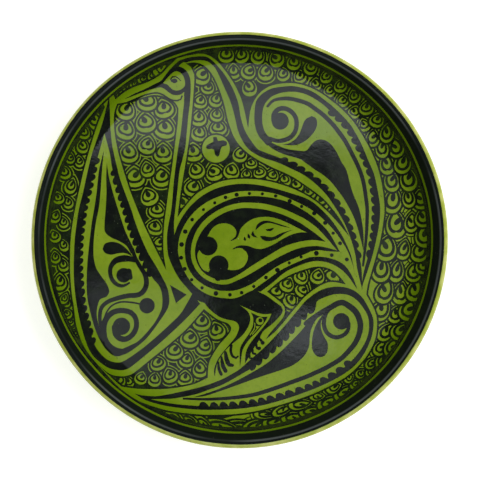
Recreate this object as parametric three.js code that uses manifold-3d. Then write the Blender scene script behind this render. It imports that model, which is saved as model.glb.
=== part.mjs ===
// A hand-painted glazed plate, in millimetres, +Z up, standing on the plane z = 0 with its axis on Z.
// The plate is a thrown clay dish with a turned foot ring, covered by three coats of glaze, and decorated
// on the food side with painted areas: two border rings, a bird, its wing, three plumes, a stem, a
// roundel and the fields of feather scales between them.

import * as THREE from 'three';
import { mergeVertices } from 'three/addons/utils/BufferGeometryUtils.js';
import Module from 'manifold-3d';

const wasm = await Module();
wasm.setup();

// ---- Driving dimensions -------------------------------------------------------------------------

const rimRadius = 135;
const wallThickness = 5.5;
const recessDepth = 6;            // from the resting plane up to the underside at the centre
const dishRadius = 480;           // radius of the shallow spherical floor
const dishSlope = radians(13.5);  // slope where the floor ends and the knuckle begins
const knuckleRadius = 17;
const wallSlope = radians(62);

const footOuterRadius = 68;
const footInnerRadius = 60;
const footChamfer = 1.5;

const glazeThickness = 0.6;
const paintThickness = 0.3;
const coatGap = 0.1;              // hairline left between two coats, and between a coat and the clay
const edgeGap = 0.3;              // between two coats that end against each other

const segments = 40;              // round the axis
const dishSteps = 4;
const knuckleSteps = 3;
const lipSteps = 6;               // over the whole half-round lip

// ---- The section of the dish --------------------------------------------------------------------

const lipRadius = wallThickness / 2;
const floorHeight = recessDepth + wallThickness;
const dishCentre = new THREE.Vector2(0, floorHeight + dishRadius);
const knuckleCentre = dishCentre.clone().addScaledVector(intoClay(dishSlope), dishRadius - knuckleRadius);
const wallStart = knuckleCentre.clone().addScaledVector(intoClay(wallSlope), knuckleRadius);
const wallEndRadius = rimRadius - lipRadius - lipRadius * Math.sin(wallSlope);
const wallLength = (wallEndRadius - wallStart.x) / Math.cos(wallSlope);
const wallEnd = wallStart.clone().add(
  new THREE.Vector2(Math.cos(wallSlope), Math.sin(wallSlope)).multiplyScalar(wallLength),
);
const lipCentre = wallEnd.clone().addScaledVector(intoClay(wallSlope), lipRadius);

function radians(degrees) {
  return THREE.MathUtils.degToRad(degrees);
}

// The direction from the food side into the clay, where the section slopes at this angle.
function intoClay(slope) {
  return new THREE.Vector2(Math.sin(slope), -Math.cos(slope));
}

function steps(from, to, count) {
  return Array.from({ length: count + 1 }, (_, i) => from + (to - from) * i / count);
}

// The food-side surface, sunk into the clay by depth, from the axis to the start of the lip.
function dishProfile(depth) {
  const onArc = (centre, radius) => (slope) => centre.clone().addScaledVector(intoClay(slope), radius + depth);
  const floor = steps(0, dishSlope, dishSteps).map(onArc(dishCentre, dishRadius));
  const knuckle = steps(dishSlope, wallSlope, knuckleSteps).slice(1).map(onArc(knuckleCentre, knuckleRadius));
  return [...floor, ...knuckle, wallEnd.clone().addScaledVector(intoClay(wallSlope), depth)];
}

// The half-round lip, sunk by depth. Turn 0 is where the food side ends, and turn PI where the back begins.
function lipProfile(depth, fromTurn, toTurn) {
  const count = Math.max(1, Math.round(lipSteps * (toTurn - fromTurn) / Math.PI));
  return steps(fromTurn, toTurn, count).map(
    (turn) => lipCentre.clone().addScaledVector(intoClay(wallSlope - turn), -(lipRadius - depth)),
  );
}

// The whole food side, sunk by depth, from the axis to the crest of the lip.
function frontFace(depth) {
  return [...dishProfile(depth), ...lipProfile(depth, 0, wallSlope).slice(1)];
}

// The point at one radius on a profile that runs outwards from the axis.
function pointAt(profile, radius) {
  const next = profile.findIndex((point) => point.x > radius);
  const [a, b] = [profile[next - 1], profile[next]];
  return a.clone().lerp(b, (radius - a.x) / (b.x - a.x));
}

// A profile without what lies nearer the axis than this radius, and without what lies beyond it.
function outsideOf(profile, radius) {
  return [pointAt(profile, radius), ...profile.filter((point) => point.x > radius)];
}

function insideOf(profile, radius) {
  return [...profile.filter((point) => point.x < radius), pointAt(profile, radius)];
}

// ---- Turned solids ------------------------------------------------------------------------------

// Turns a profile round Z. It runs up the axis side last, or closes on itself.
function turned(points) {
  const geometry = new THREE.LatheGeometry(points, segments);
  return geometry.rotateX(Math.PI / 2);
}

function closed(points) {
  return [...points, points[0].clone()];
}

// ---- Joining and cutting ------------------------------------------------------------------------

function toSolid(geometry) {
  const bare = geometry.clone();
  bare.deleteAttribute('normal');
  bare.deleteAttribute('uv');
  const merged = mergeVertices(bare, 1e-5);
  return new wasm.Manifold(new wasm.Mesh({
    numProp: 3,
    vertProperties: new Float32Array(merged.attributes.position.array),
    triVerts: new Uint32Array(merged.index.array),
  }));
}

function toGeometry(solid) {
  const { vertProperties, triVerts } = solid.getMesh();
  const geometry = new THREE.BufferGeometry();
  geometry.setAttribute('position', new THREE.BufferAttribute(vertProperties, 3));
  geometry.setIndex(new THREE.BufferAttribute(triVerts, 1));
  geometry.computeVertexNormals();
  return geometry;
}

// ---- Outlines seen from above -------------------------------------------------------------------

const curveSpacing = 8;           // length of one facet along a painted outline

// A closed outline made of smooth runs. Each run is a list of [x, y], and begins where the last one ended.
function outline(...runs) {
  const points = runs.flatMap((run) => {
    const curve = new THREE.SplineCurve(run.map(([x, y]) => new THREE.Vector2(x, y)));
    const count = Math.max(run.length - 1, Math.round(curve.getLength() / curveSpacing));
    return curve.getSpacedPoints(count).slice(0, -1);
  });
  return new THREE.Shape(points);
}

// A brush stroke of one width along a smooth run, with square ends.
function stroke(width, run) {
  const curve = new THREE.SplineCurve(run.map(([x, y]) => new THREE.Vector2(x, y)));
  const count = Math.round(curve.getLength() / curveSpacing);
  const side = (offset) => steps(0, 1, count).map((t) => {
    const tangent = curve.getTangentAt(t);
    return curve.getPointAt(t).add(new THREE.Vector2(-tangent.y, tangent.x).multiplyScalar(offset));
  });
  return new THREE.Shape([...side(width / 2), ...side(-width / 2).reverse()]);
}

function disc(x, y, radius) {
  return new THREE.Shape().absarc(x, y, radius, 0, 2 * Math.PI);
}

// The points of an arc about the plate's axis, as a run for outline().
function arcRun(radius, fromDegrees, toDegrees) {
  return steps(fromDegrees, toDegrees, 24).map((a) => [radius * Math.cos(radians(a)), radius * Math.sin(radians(a))]);
}

// ---- Painted areas ------------------------------------------------------------------------------

// A coat of paint over the whole food side, up to the crest of the lip.
const paintCoat = toSolid(turned([...frontFace(-coatGap), ...frontFace(-coatGap - paintThickness).reverse()]));

function prism(shape) {
  return toSolid(new THREE.ExtrudeGeometry(shape, { depth: 100, bevelEnabled: false, curveSegments: 6 }));
}

function joined(shapes) {
  return shapes.map(prism).reduce((whole, piece) => whole.add(piece));
}

// The part of the coat that lies under these shapes, less the reserves left bare in it.
function painted(shapes, reserves = []) {
  const area = reserves.length ? joined(shapes).subtract(joined(reserves)) : joined(shapes);
  return toGeometry(paintCoat.intersect(area));
}

// A ring of paint, turned on the wheel, between two radii of the food side.
function paintedRing(innerRadius, outerRadius) {
  const face = (depth) => insideOf(outsideOf(frontFace(depth), innerRadius), outerRadius);
  return turned(closed([...face(-coatGap), ...face(-coatGap - paintThickness).reverse()]));
}

const fieldRadius = 122.8;        // the scale fields stop here, just inside the border line
const borderLine = [124, 125.4];
const rimBand = [127.2, 132];

const neck = stroke(4, [[-37, 112], [-33.5, 104], [-34, 85], [-38, 55], [-42, 25], [-42.5, 5]]);
const head = outline(
  [[-36, 113], [-34, 105], [-37, 97], [-46, 95.5], [-58, 97], [-72, 93]],
  [[-72, 93], [-60, 100], [-51, 104], [-45, 110], [-36, 113]],
);
const body = outline(
  [[-40.5, 9], [-44.8, -2], [-43.5, -14], [-38, -26], [-29.5, -37.2], [-24, -42.5]],
  [[-24, -42.5], [-12, -48], [0, -50.5], [12, -47.5], [24, -48]],
  [[24, -48], [26, -45], [15, -36.5]],
  [[15, -36.5], [5, -39], [-8, -41.3], [-20, -39], [-31, -30.5], [-38.5, -19], [-41, -7], [-40.5, 9]],
);
const leftLeg = stroke(4.5, [[-8, -47], [1, -52], [3, -59], [-3, -69], [-10, -79], [-14, -87]]);
const rightLeg = stroke(3.5, [[22, -46], [22, -53], [13, -63], [6, -72], [3.5, -80]]);

const wingPanel = outline(
  [[57.5, -2], [47, 6], [36, 13], [22, 18.5], [8, 20.3], [-5, 18], [-16, 11.5], [-24, 3], [-28.5, -8],
    [-26.5, -17], [-20, -24], [-10, -27.5], [0, -26.5], [10, -21], [20, -13.5], [30, -6], [42, -1.5], [57.5, -2]],
);
const wingLeaf = outline(
  [[2, 1], [5, 8.5], [13, 13.5], [22, 14], [33, 10], [44, 4]],
  [[44, 4], [34, 1], [26, -4], [16, -7], [8, -5], [2, 1]],
);

const innerBandOutside = outline(
  [[68, -9.5], [58, 5], [46, 15.5], [32, 23.5], [18, 27.3], [4, 28], [-10, 25], [-22, 18], [-31, 7], [-35, -8],
    [-33, -20], [-26, -29.5], [-15, -34.5], [-3, -34.5], [8, -30], [18, -23], [28, -15], [40, -9.5], [53, -7.5],
    [68, -9.5]],
);
const innerBandInside = outline(
  [[61, -5.3], [52, 6], [40, 15], [26, 21.5], [12, 24], [0, 23], [-12, 18.5], [-22, 11], [-29, 1], [-31.3, -9],
    [-29.5, -18], [-24, -25.5], [-15, -30], [-5, -30.6], [6, -27], [17, -19.5], [28, -11.5], [40, -6],
    [50, -4.3], [61, -5.3]],
);

const roundelCentre = [-15, 61];
const roundelRadius = 9.8;
const crossReach = 4.2;           // from the middle of the roundel to the middle of each petal
const crossPetals = steps(0, 270, 3).map((a) => disc(
  roundelCentre[0] + crossReach * Math.cos(radians(a)),
  roundelCentre[1] + crossReach * Math.sin(radians(a)),
  2.6,
));

const paintedAreas = {
  border_line: paintedRing(...borderLine),
  rim_band: paintedRing(...rimBand),
  bird_figure: painted([neck, head, body, leftLeg, rightLeg]),
  wing_panel: painted([wingPanel], [wingLeaf, disc(-9, 1.5, 7.5), disc(-1, -13.5, 6.5)]),
  wing_inner_band: painted([innerBandOutside], [innerBandInside]),
  wing_outer_band: painted([stroke(3.4, [
    [-36.8, 12.5], [-29, 22], [-19, 29], [-7, 33], [6, 34.2], [20, 33], [34, 28.8], [47, 22], [58, 13],
    [67, 2], [73, -9], [76, -19], [77, -27],
  ])]),
  wing_lower_band: painted([stroke(3.4, [
    [19, -29.5], [30, -21.5], [41, -16], [52, -13.7], [61, -14.5], [67.5, -18], [71.5, -23], [73.3, -27],
  ])]),
  stem: painted([stroke(4.2, [
    [-31, 116.3], [-24, 117.2], [-17, 115.2], [-11, 108.5], [-6.5, 98], [-3, 87], [0.5, 76], [5.5, 66.5],
    [14, 58.5], [26, 52.5], [38, 47], [50, 39.5], [60, 30], [68, 18], [74, 5], [79, -9], [81.2, -21],
  ])]),
  left_plume: painted([outline(
    [[-85, 88], [-93, 70], [-100, 48], [-105, 22], [-108, -5], [-107.5, -32], [-103, -57], [-96, -73],
      [-87, -82.5], [-77, -86.5]],
    [[-77, -86.5], [-68, -81], [-57, -72.5], [-44, -60], [-32, -46]],
    [[-32, -46], [-36, -38.5]],
    [[-36, -38.5], [-47, -28], [-57, -11], [-66, 9], [-73, 30], [-79, 52], [-82, 70], [-85, 88]],
  )]),
  upper_plume: painted([outline(
    [[84.5, -29], [89, -12], [93, 5], [93.8, 22], [91, 42], [85, 60], [76, 76], [64, 89.5], [50, 97.5],
      [36, 100.5], [23, 97], [13.5, 88], [10.3, 78], [13, 68.5], [20, 61.5], [30, 57.5]],
    [[30, 57.5], [41, 53.5], [53, 46], [64, 35.5], [73, 22], [79, 8], [83, -8], [84.5, -29]],
  )]),
  lower_plume: painted([outline(
    [[-70, -99.8], [-52, -101.5], [-30, -99.5], [-10, -92], [8, -81.5], [24, -69], [38, -55.5], [50, -44],
      [60, -36.5], [70, -34], [79, -37], [85, -44.5], [88, -55], [86, -67], [79, -79], [68, -88.5],
      [54, -96.5], [38, -103], [20, -108.5], [2, -112], [-18, -112.5], [-38, -110.5], [-56, -106.2],
      [-70, -99.8]],
  )]),
  roundel_cross: painted([disc(...roundelCentre, 3.4), ...crossPetals]),
  scales_left_rim: painted([outline(
    arcRun(fieldRadius, 135, 209),
    [[-107.4, -59.5], [-110.5, -42], [-112, -20], [-111, 0], [-108.5, 22], [-103.5, 45], [-96, 66], [-86.8, 86.8]],
  )]),
  scales_nape: painted([outline(
    [[-79, 86], [-78.5, 72], [-75, 55], [-69.5, 38], [-62, 18], [-54.5, -2], [-47.5, -21]],
    [[-47.5, -21], [-50, -8], [-50.3, 8], [-49.5, 25], [-47.5, 42], [-44.5, 60], [-42.5, 76], [-42, 90]],
    [[-42, 90], [-50, 93.5], [-62, 93], [-71, 90], [-79, 86]],
  )]),
  scales_breast: painted([outline(
    [[-40, 14], [-38, 30], [-35, 48], [-32, 68], [-30, 88], [-29, 108]],
    [[-29, 108], [-26, 114], [-20, 112.5], [-14.5, 104], [-9.5, 90], [-6, 76], [-1, 64.5], [8, 55.5],
      [21, 48], [36, 41], [50, 32], [62, 20]],
    [[62, 20], [50, 27], [36, 33.5], [20, 38], [4, 39.5], [-12, 37.5], [-26, 30.5], [-35, 21], [-40, 14]],
  )], [disc(...roundelCentre, roundelRadius)]),
  scales_right_rim: painted([outline(
    arcRun(fieldRadius, -108, 98),
    [[-17.1, 121.6], [-8.5, 112.5], [-2, 101.5], [3, 88], [6.8, 73]],
    [[6.8, 73], [8, 85.5], [13.5, 95.5], [24, 102.5], [38, 105], [53, 102], [67, 93], [79.5, 79], [88.5, 62],
      [95, 43], [98, 22], [97, 0], [92, -18], [87, -36]],
    [[87, -36], [92, -50], [91, -63], [85, -76.5], [73, -88.5], [57, -99], [40, -106.3], [20, -111.8],
      [0, -115], [-20, -115.8], [-37.9, -116.8]],
  )]),
  scales_tail: painted([outline(
    [[19.5, -35.5], [30, -27], [42, -21.5], [54, -18.8], [64, -22], [71.5, -30.5]],
    [[71.5, -30.5], [62, -30], [54, -34], [45, -40], [37, -47.5]],
    [[37, -47.5], [30, -42.5], [19.5, -35.5]],
  )]),
  scales_legs: painted([outline(
    [[-22.5, -47], [-34, -60], [-46, -70.5], [-58, -80], [-72, -88.5]],
    [[-72, -88.5], [-71, -94], [-61, -98.7], [-45, -98.8], [-30, -96.3], [-20, -92]],
    [[-20, -92], [-19, -82], [-13, -71.5], [-5, -62], [-6, -57], [-14, -53.5], [-22.5, -47]],
  )]),
};

// ---- Clay and glaze -----------------------------------------------------------------------------

const clayDepth = glazeThickness + coatGap;
const clayUnderside = dishProfile(wallThickness - clayDepth);

const clayBody = turned([
  ...clayUnderside,
  ...lipProfile(clayDepth, 0, Math.PI).slice(1, -1).reverse(),
  ...dishProfile(clayDepth).reverse(),
]);

const footTop = insideOf(
  outsideOf(dishProfile(wallThickness - clayDepth + coatGap), footInnerRadius), footOuterRadius,
);
const footRing = turned(closed([
  new THREE.Vector2(footInnerRadius + footChamfer, 0),
  new THREE.Vector2(footOuterRadius - footChamfer, 0),
  new THREE.Vector2(footOuterRadius, footChamfer),
  ...footTop.reverse(),
  new THREE.Vector2(footInnerRadius, footChamfer),
]));

const glazeFront = turned([...frontFace(glazeThickness), ...frontFace(0).reverse()]);

const glazeBase = turned([
  ...insideOf(dishProfile(wallThickness), footInnerRadius - edgeGap),
  ...insideOf(dishProfile(wallThickness - glazeThickness), footInnerRadius - edgeGap).reverse(),
]);

// The back of a glaze coat, or the face it has against the clay, from the foot ring to the crest of the lip.
function backFace(depth) {
  const wall = outsideOf(dishProfile(wallThickness - depth), footOuterRadius + edgeGap);
  return [...wall, ...lipProfile(depth, wallSlope + edgeGap / lipRadius, Math.PI).slice(0, -1).reverse()];
}

const glazeBack = turned(closed([...backFace(0), ...backFace(glazeThickness).reverse()]));

// ---- Assembly -----------------------------------------------------------------------------------

const finishes = {
  clay: { color: 0xd9b48c, roughness: 0.85 },
  glaze: { color: 0x86a02c, roughness: 0.12 },
  paint: { color: 0x1d211d, roughness: 0.12 },
  scales: { color: 0x45571c, roughness: 0.12 },
};

function node(name, geometry, finish) {
  const material = new THREE.MeshStandardMaterial({ metalness: 0, ...finishes[finish] });
  const mesh = new THREE.Mesh(geometry, material);
  mesh.name = name;
  return mesh;
}

const plate = new THREE.Group();
plate.add(
  node('clay_body', clayBody, 'clay'),
  node('foot_ring', footRing, 'clay'),
  node('glaze_front', glazeFront, 'glaze'),
  node('glaze_back', glazeBack, 'glaze'),
  node('glaze_base', glazeBase, 'glaze'),
);
for (const [name, geometry] of Object.entries(paintedAreas)) {
  plate.add(node(name, geometry, name.startsWith('scales') ? 'scales' : 'paint'));
}

export default plate;
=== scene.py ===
"""A hand-painted glazed plate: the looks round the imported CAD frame.

The section of the dish is a height for each radius. Paint is drawn in plan, in millimetres about the middle
of the painting with X right and Y up, and is then laid on the food side as a thin raised coat.
"""

import math
import random

import bpy
import numpy as np
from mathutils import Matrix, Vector, geometry, noise


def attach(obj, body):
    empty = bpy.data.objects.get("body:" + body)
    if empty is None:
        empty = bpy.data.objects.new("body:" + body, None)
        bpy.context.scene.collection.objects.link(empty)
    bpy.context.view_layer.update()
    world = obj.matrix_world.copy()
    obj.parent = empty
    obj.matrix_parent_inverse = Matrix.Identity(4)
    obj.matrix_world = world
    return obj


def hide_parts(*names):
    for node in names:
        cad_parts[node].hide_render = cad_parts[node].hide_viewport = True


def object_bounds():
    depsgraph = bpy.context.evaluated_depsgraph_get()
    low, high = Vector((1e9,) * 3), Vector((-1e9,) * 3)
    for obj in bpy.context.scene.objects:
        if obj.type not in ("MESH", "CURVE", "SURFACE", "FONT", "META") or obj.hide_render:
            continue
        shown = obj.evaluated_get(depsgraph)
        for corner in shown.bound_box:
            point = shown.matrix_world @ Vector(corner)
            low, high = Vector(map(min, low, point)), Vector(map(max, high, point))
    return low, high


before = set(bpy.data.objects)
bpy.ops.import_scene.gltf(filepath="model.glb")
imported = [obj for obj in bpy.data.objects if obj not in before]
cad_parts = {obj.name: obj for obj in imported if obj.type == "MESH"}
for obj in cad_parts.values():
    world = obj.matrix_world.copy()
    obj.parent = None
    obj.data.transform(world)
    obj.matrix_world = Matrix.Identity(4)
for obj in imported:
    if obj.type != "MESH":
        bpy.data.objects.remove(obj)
cad_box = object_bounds()

MM = 0.001

# ---- Section of the dish, in millimetres ---------------------------------------------------------

RIM_RADIUS = (cad_box[1][0] - cad_box[0][0]) / 2 / MM
WALL_THICKNESS = 5.5
LIP_RADIUS = WALL_THICKNESS / 2
RECESS_DEPTH = 6.0
DISH_RADIUS = 480.0
DISH_SLOPE = math.radians(13.5)
KNUCKLE_RADIUS = 17.0
WALL_SLOPE = math.radians(62)
FOOT_OUTER = 68.0
FOOT_INNER = 60.0
GLAZE = 0.6                      # thickness of a glaze coat
PAINT_TOP = 0.13                 # the paint stands this proud of the glaze
PAINT_ROOT = -0.12               # and reaches this far into it
PAINT_SHIFT = Vector((-0.42, 0.43))     # the painting is a little off the axis of the plate
FIELD_RADIUS = 124.4             # the scale fields stop here, at the border line
BORDER_LINE = (124.5, 125.5)
RIM_BAND = (126.6, 132.5)
HIGHLIGHT_RING = 130.0                # a painted highlight: a lighter grey ring on the rim band, standing for the lamps' reflection on the lip

FLOOR_HEIGHT = RECESS_DEPTH + WALL_THICKNESS
DISH_CENTRE = (0.0, FLOOR_HEIGHT + DISH_RADIUS)
KNUCKLE_CENTRE = (
    (DISH_RADIUS - KNUCKLE_RADIUS) * math.sin(DISH_SLOPE),
    DISH_CENTRE[1] - (DISH_RADIUS - KNUCKLE_RADIUS) * math.cos(DISH_SLOPE),
)
WALL_START = (
    KNUCKLE_CENTRE[0] + KNUCKLE_RADIUS * math.sin(WALL_SLOPE),
    KNUCKLE_CENTRE[1] - KNUCKLE_RADIUS * math.cos(WALL_SLOPE),
)
WALL_END_RADIUS = RIM_RADIUS - LIP_RADIUS * (1 + math.sin(WALL_SLOPE))
WALL_END = (WALL_END_RADIUS, WALL_START[1] + (WALL_END_RADIUS - WALL_START[0]) * math.tan(WALL_SLOPE))
LIP_CENTRE = (
    WALL_END[0] + LIP_RADIUS * math.sin(WALL_SLOPE),
    WALL_END[1] - LIP_RADIUS * math.cos(WALL_SLOPE),
)
DISH_EDGE = DISH_RADIUS * math.sin(DISH_SLOPE)


def food_height(radius):
    """Height of the food side at one radius."""
    if radius <= DISH_EDGE:
        return DISH_CENTRE[1] - math.sqrt(DISH_RADIUS ** 2 - radius ** 2)
    if radius <= WALL_START[0]:
        return KNUCKLE_CENTRE[1] - math.sqrt(KNUCKLE_RADIUS ** 2 - (radius - KNUCKLE_CENTRE[0]) ** 2)
    if radius <= WALL_END[0]:
        return WALL_START[1] + (radius - WALL_START[0]) * math.tan(WALL_SLOPE)
    reach = min(radius, RIM_RADIUS) - LIP_CENTRE[0]
    return LIP_CENTRE[1] + math.sqrt(max(0.0, LIP_RADIUS ** 2 - reach ** 2))


def hand_wobble(x, y):
    """The slight unevenness of a hand-thrown surface, the same for glaze and paint."""
    broad = noise.noise(Vector((x / 55, y / 55, 3.7)))
    fine = noise.noise(Vector((x / 19, y / 19, 8.1)))
    return 0.14 * broad + 0.025 * fine


def on_food_side(x, y, proud=0.0):
    """A point of the food side, or one that stands proud of it along its slope."""
    radius = math.hypot(x, y)
    height = food_height(radius) + hand_wobble(x, y)
    if not proud:
        return Vector((x, y, height))
    return Vector((x, y, height)) + food_normal(x, y) * proud


def food_normal(x, y, reach=0.4):
    """Square to the food side."""
    along_x = food_height(math.hypot(x + reach, y)) - food_height(math.hypot(x - reach, y))
    along_y = food_height(math.hypot(x, y + reach)) - food_height(math.hypot(x, y - reach))
    wobble_x = hand_wobble(x + reach, y) - hand_wobble(x - reach, y)
    wobble_y = hand_wobble(x, y + reach) - hand_wobble(x, y - reach)
    return Vector((-(along_x + wobble_x), -(along_y + wobble_y), 2 * reach)).normalized()


# ---- Meshes --------------------------------------------------------------------------------------

def make_piece(name, points, faces, material, nodes):
    """A mesh piece from points in millimetres, which stands for these CAD nodes."""
    mesh = bpy.data.meshes.new(name)
    mesh.from_pydata([tuple(c * MM for c in point) for point in points], [], faces)
    mesh.polygons.foreach_set("use_smooth", [True] * len(mesh.polygons))
    mesh.materials.append(material)
    piece = bpy.data.objects.new(name, mesh)
    bpy.context.scene.collection.objects.link(piece)
    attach(piece, "root")
    if nodes:
        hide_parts(*nodes)
    return piece


def steps(start, end, count):
    return [start + (end - start) * i / count for i in range(count + 1)]


def turn(name, section, material, nodes, segments=320, edge=None):
    """Turns a closed section, a list of (radius, height, follows), round Z.

    follows is how far the point takes part in the wobble of the food side. edge(angle, i) may shift point i.
    """
    points = []
    for j in range(segments):
        angle = 2 * math.pi * j / segments
        for i, (radius, height, follows) in enumerate(section):
            shift = edge(angle, i) if edge else (0.0, 0.0)
            x = (radius + shift[0]) * math.cos(angle)
            y = (radius + shift[0]) * math.sin(angle)
            points.append((x, y, height + shift[1] + follows * hand_wobble(x, y)))
    count = len(section)
    faces = []
    for j in range(segments):
        here, there = j * count, (j + 1) % segments * count
        for i in range(count):
            nxt = (i + 1) % count
            faces.append((here + i, there + i, there + nxt, here + nxt))
    piece = make_piece(name, points, faces, material, nodes)
    piece.data.set_sharp_from_angle(angle=math.radians(50))
    return piece


# ---- Drawing in plan -----------------------------------------------------------------------------

def curve(run, spacing=1.3, loop=False):
    """A smooth curve through the points of a run, as points about one spacing apart."""
    count = len(run)
    spans = count if loop else count - 1
    points = []
    for i in range(spans):
        if loop:
            a, b, c, d = (Vector(run[(i + k) % count]) for k in (-1, 0, 1, 2))
        else:
            a, b, c, d = (Vector(run[min(max(i + k, 0), count - 1)]) for k in (-1, 0, 1, 2))
        pieces = max(1, round((c - b).length / spacing))
        for k in range(pieces):
            t = k / pieces
            points.append(0.5 * (
                2 * b + (c - a) * t + (2 * a - 5 * b + 4 * c - d) * t ** 2 + (3 * b - a - 3 * c + d) * t ** 3
            ))
    if not loop:
        points.append(Vector(run[-1]))
    return points


def outline(*runs):
    """A closed outline. Each smooth run goes on to the first point of the next one, which is a corner."""
    points = []
    for run, following in zip(runs, runs[1:] + runs[:1]):
        points += curve(run + following[:1])[:-1]
    return [points]


def disc(x, y, radius, squash=1.0):
    count = max(10, round(radius * 7))
    ring = [2 * math.pi * k / count for k in range(count)]
    return [[Vector((x + radius * math.cos(a), y + radius * squash * math.sin(a))) for a in ring]]


def uneven_dots(radius, spread, *centres):
    chance = random.Random(len(centres))
    return [disc(x, y, radius + chance.uniform(-spread, spread))[0] for x, y in centres]


def side_of(points):
    """The unit vectors to the left of a line of points."""
    sides = []
    for i in range(len(points)):
        along = points[min(i + 1, len(points) - 1)] - points[max(i - 1, 0)]
        sides.append(Vector((-along.y, along.x)).normalized())
    return sides


def stroke(width, *run, spacing=1.6, loop=False):
    """A brush stroke along a smooth run. width is one number, or several spread evenly along the stroke."""
    points = curve(run, spacing, loop)
    if loop:
        points.append(points[0].copy())
    widths = width if isinstance(width, (list, tuple)) else (width, width)
    halves = []
    for i in range(len(points)):
        place = i / (len(points) - 1) * (len(widths) - 1)
        k = min(int(place), len(widths) - 2)
        halves.append((widths[k] + (widths[k + 1] - widths[k]) * (place - k)) / 2)
    sides = side_of(points)
    left = [p + s * h for p, s, h in zip(points, sides, halves)]
    right = [p - s * h for p, s, h in zip(points, sides, halves)]
    shapes = [[left[i], right[i], right[i + 1], left[i + 1]] for i in range(len(points) - 1)]
    for end in () if loop else (0, -1):
        if halves[end] > 0.25:
            shapes += disc(points[end].x, points[end].y, halves[end])
    return shapes


def lumps(run, pitch, height):
    """Rounded teeth to the left of a run, or to its right for a negative height. They lean forwards."""
    points = curve(run, pitch / 4)
    sides = side_of(points)
    shapes = []
    for i in range(2, len(points) - 2, 4):
        along = points[i + 2] - points[i - 2]
        out = sides[i] * height
        corners = ((-0.44, -0.3), (-0.3, 0.5), (0.02, 1.0), (0.34, 0.85), (0.46, 0.2), (0.4, -0.3))
        shapes.append(curve([tuple(points[i] + along * a + out * b) for a, b in corners], 0.8, loop=True))
    return shapes


def encloses(shape, places):
    """Which of these places, an array of x and y, the outline is wound round."""
    x, y = places[:, 0], places[:, 1]
    turns = np.zeros(len(places), int)
    for a, b in zip(shape, shape[1:] + shape[:1]):
        left = (b.x - a.x) * (y - a.y) - (x - a.x) * (b.y - a.y)
        turns += ((a.y <= y) & (b.y > y) & (left > 0)).astype(int)
        turns -= ((a.y > y) & (b.y <= y) & (left < 0)).astype(int)
    return turns != 0


def mark(shape, middles, marks, value):
    """Gives the marks of the middles that lie inside this outline a new value."""
    low = (min(p.x for p in shape), min(p.y for p in shape))
    high = (max(p.x for p in shape), max(p.y for p in shape))
    near = np.nonzero(((middles > low) & (middles < high)).all(axis=1))[0]
    marks[near[encloses(shape, middles[near])]] = value


# ---- Laying paint on the food side ---------------------------------------------------------------

INK, BARE = True, False


def lay_paint(name, layers, material, nodes, within=None):
    """Lays a drawing on the food side as one coat. layers is a list of (INK or BARE, outlines), lowest first.

    Where layers overlap the highest one counts. within is an outline that trims the whole drawing.
    """
    shapes = (within or []) + [shape for _, outlines in layers for shape in outlines]
    corners = []
    edges = []
    for shape in shapes:
        first, count = len(corners), len(shape)
        edges.extend([(first + i, first + (i + 1) % count) for i in range(count)])
        corners.extend(shape)
    corners.extend(inner_points(corners))
    places, _, triangles, _, _, _ = geometry.delaunay_2d_cdt(corners, edges, [], 0, 1e-4, False)
    xy = np.array([tuple(place) for place in places])
    middles = xy[np.array(triangles)].mean(axis=1)
    inked = np.zeros(len(middles), bool)
    for kind, outlines in layers:
        for shape in outlines:
            mark(shape, middles, inked, kind)
    if within:
        trimmed = np.zeros(len(middles), bool)
        mark(within[0], middles, trimmed, True)
        inked &= trimmed
    kept = [tuple(triangle) for triangle, keep in zip(triangles, inked) if keep]
    coat(name, [p + PAINT_SHIFT for p in places], kept, material, nodes)


def inner_points(corners, pitch=4.0):
    """Points spread over the box of a drawing, closer together where the dish turns up."""
    low_x, high_x = min(p.x for p in corners), max(p.x for p in corners)
    low_y, high_y = min(p.y for p in corners), max(p.y for p in corners)
    points = []
    for i in range(int((high_x - low_x) * 2 / pitch) + 1):
        for j in range(int((high_y - low_y) * 2 / pitch) + 1):
            point = Vector((low_x + (i + 0.37) * pitch / 2, low_y + (j + 0.41) * pitch / 2))
            if point.length > DISH_EDGE - 3 or (i % 2 == 0 and j % 2 == 0):
                points.append(point)
    return points


def coat(name, places, triangles, material, nodes):
    """A closed coat over these triangles of the plan, its edges running square to the food side."""
    used = sorted({corner for triangle in triangles for corner in triangle})
    number = {corner: i for i, corner in enumerate(used)}
    top = [on_food_side(*places[corner], PAINT_TOP) for corner in used]
    root = [on_food_side(*places[corner], PAINT_ROOT) for corner in used]
    count = len(used)
    faces = []
    borders = {}
    for a, b, c in triangles:
        a, b, c = number[a], number[b], number[c]
        faces.append((a, b, c))
        for start, end in ((a, b), (b, c), (c, a)):
            if borders.pop((end, start), None) is None:
                borders[(start, end)] = True
    tops = len(faces)
    faces.extend([(c + count, b + count, a + count) for a, b, c in faces[:tops]])
    faces.extend([(start, start + count, end + count, end) for start, end in borders])
    piece = make_piece(name, top + root, faces, material, nodes)
    normals = [food_normal(*places[corner]) for corner in used]
    corner_normals = []
    for polygon in piece.data.polygons:
        for vertex in polygon.vertices:
            corner_normals.append(normals[vertex] if polygon.index < tops else Vector((0, 0, 0)))
    piece.data.polygons.foreach_set("use_smooth", [i < tops for i in range(len(faces))])
    piece.data.normals_split_custom_set(corner_normals)


# ---- Materials -----------------------------------------------------------------------------------

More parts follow.
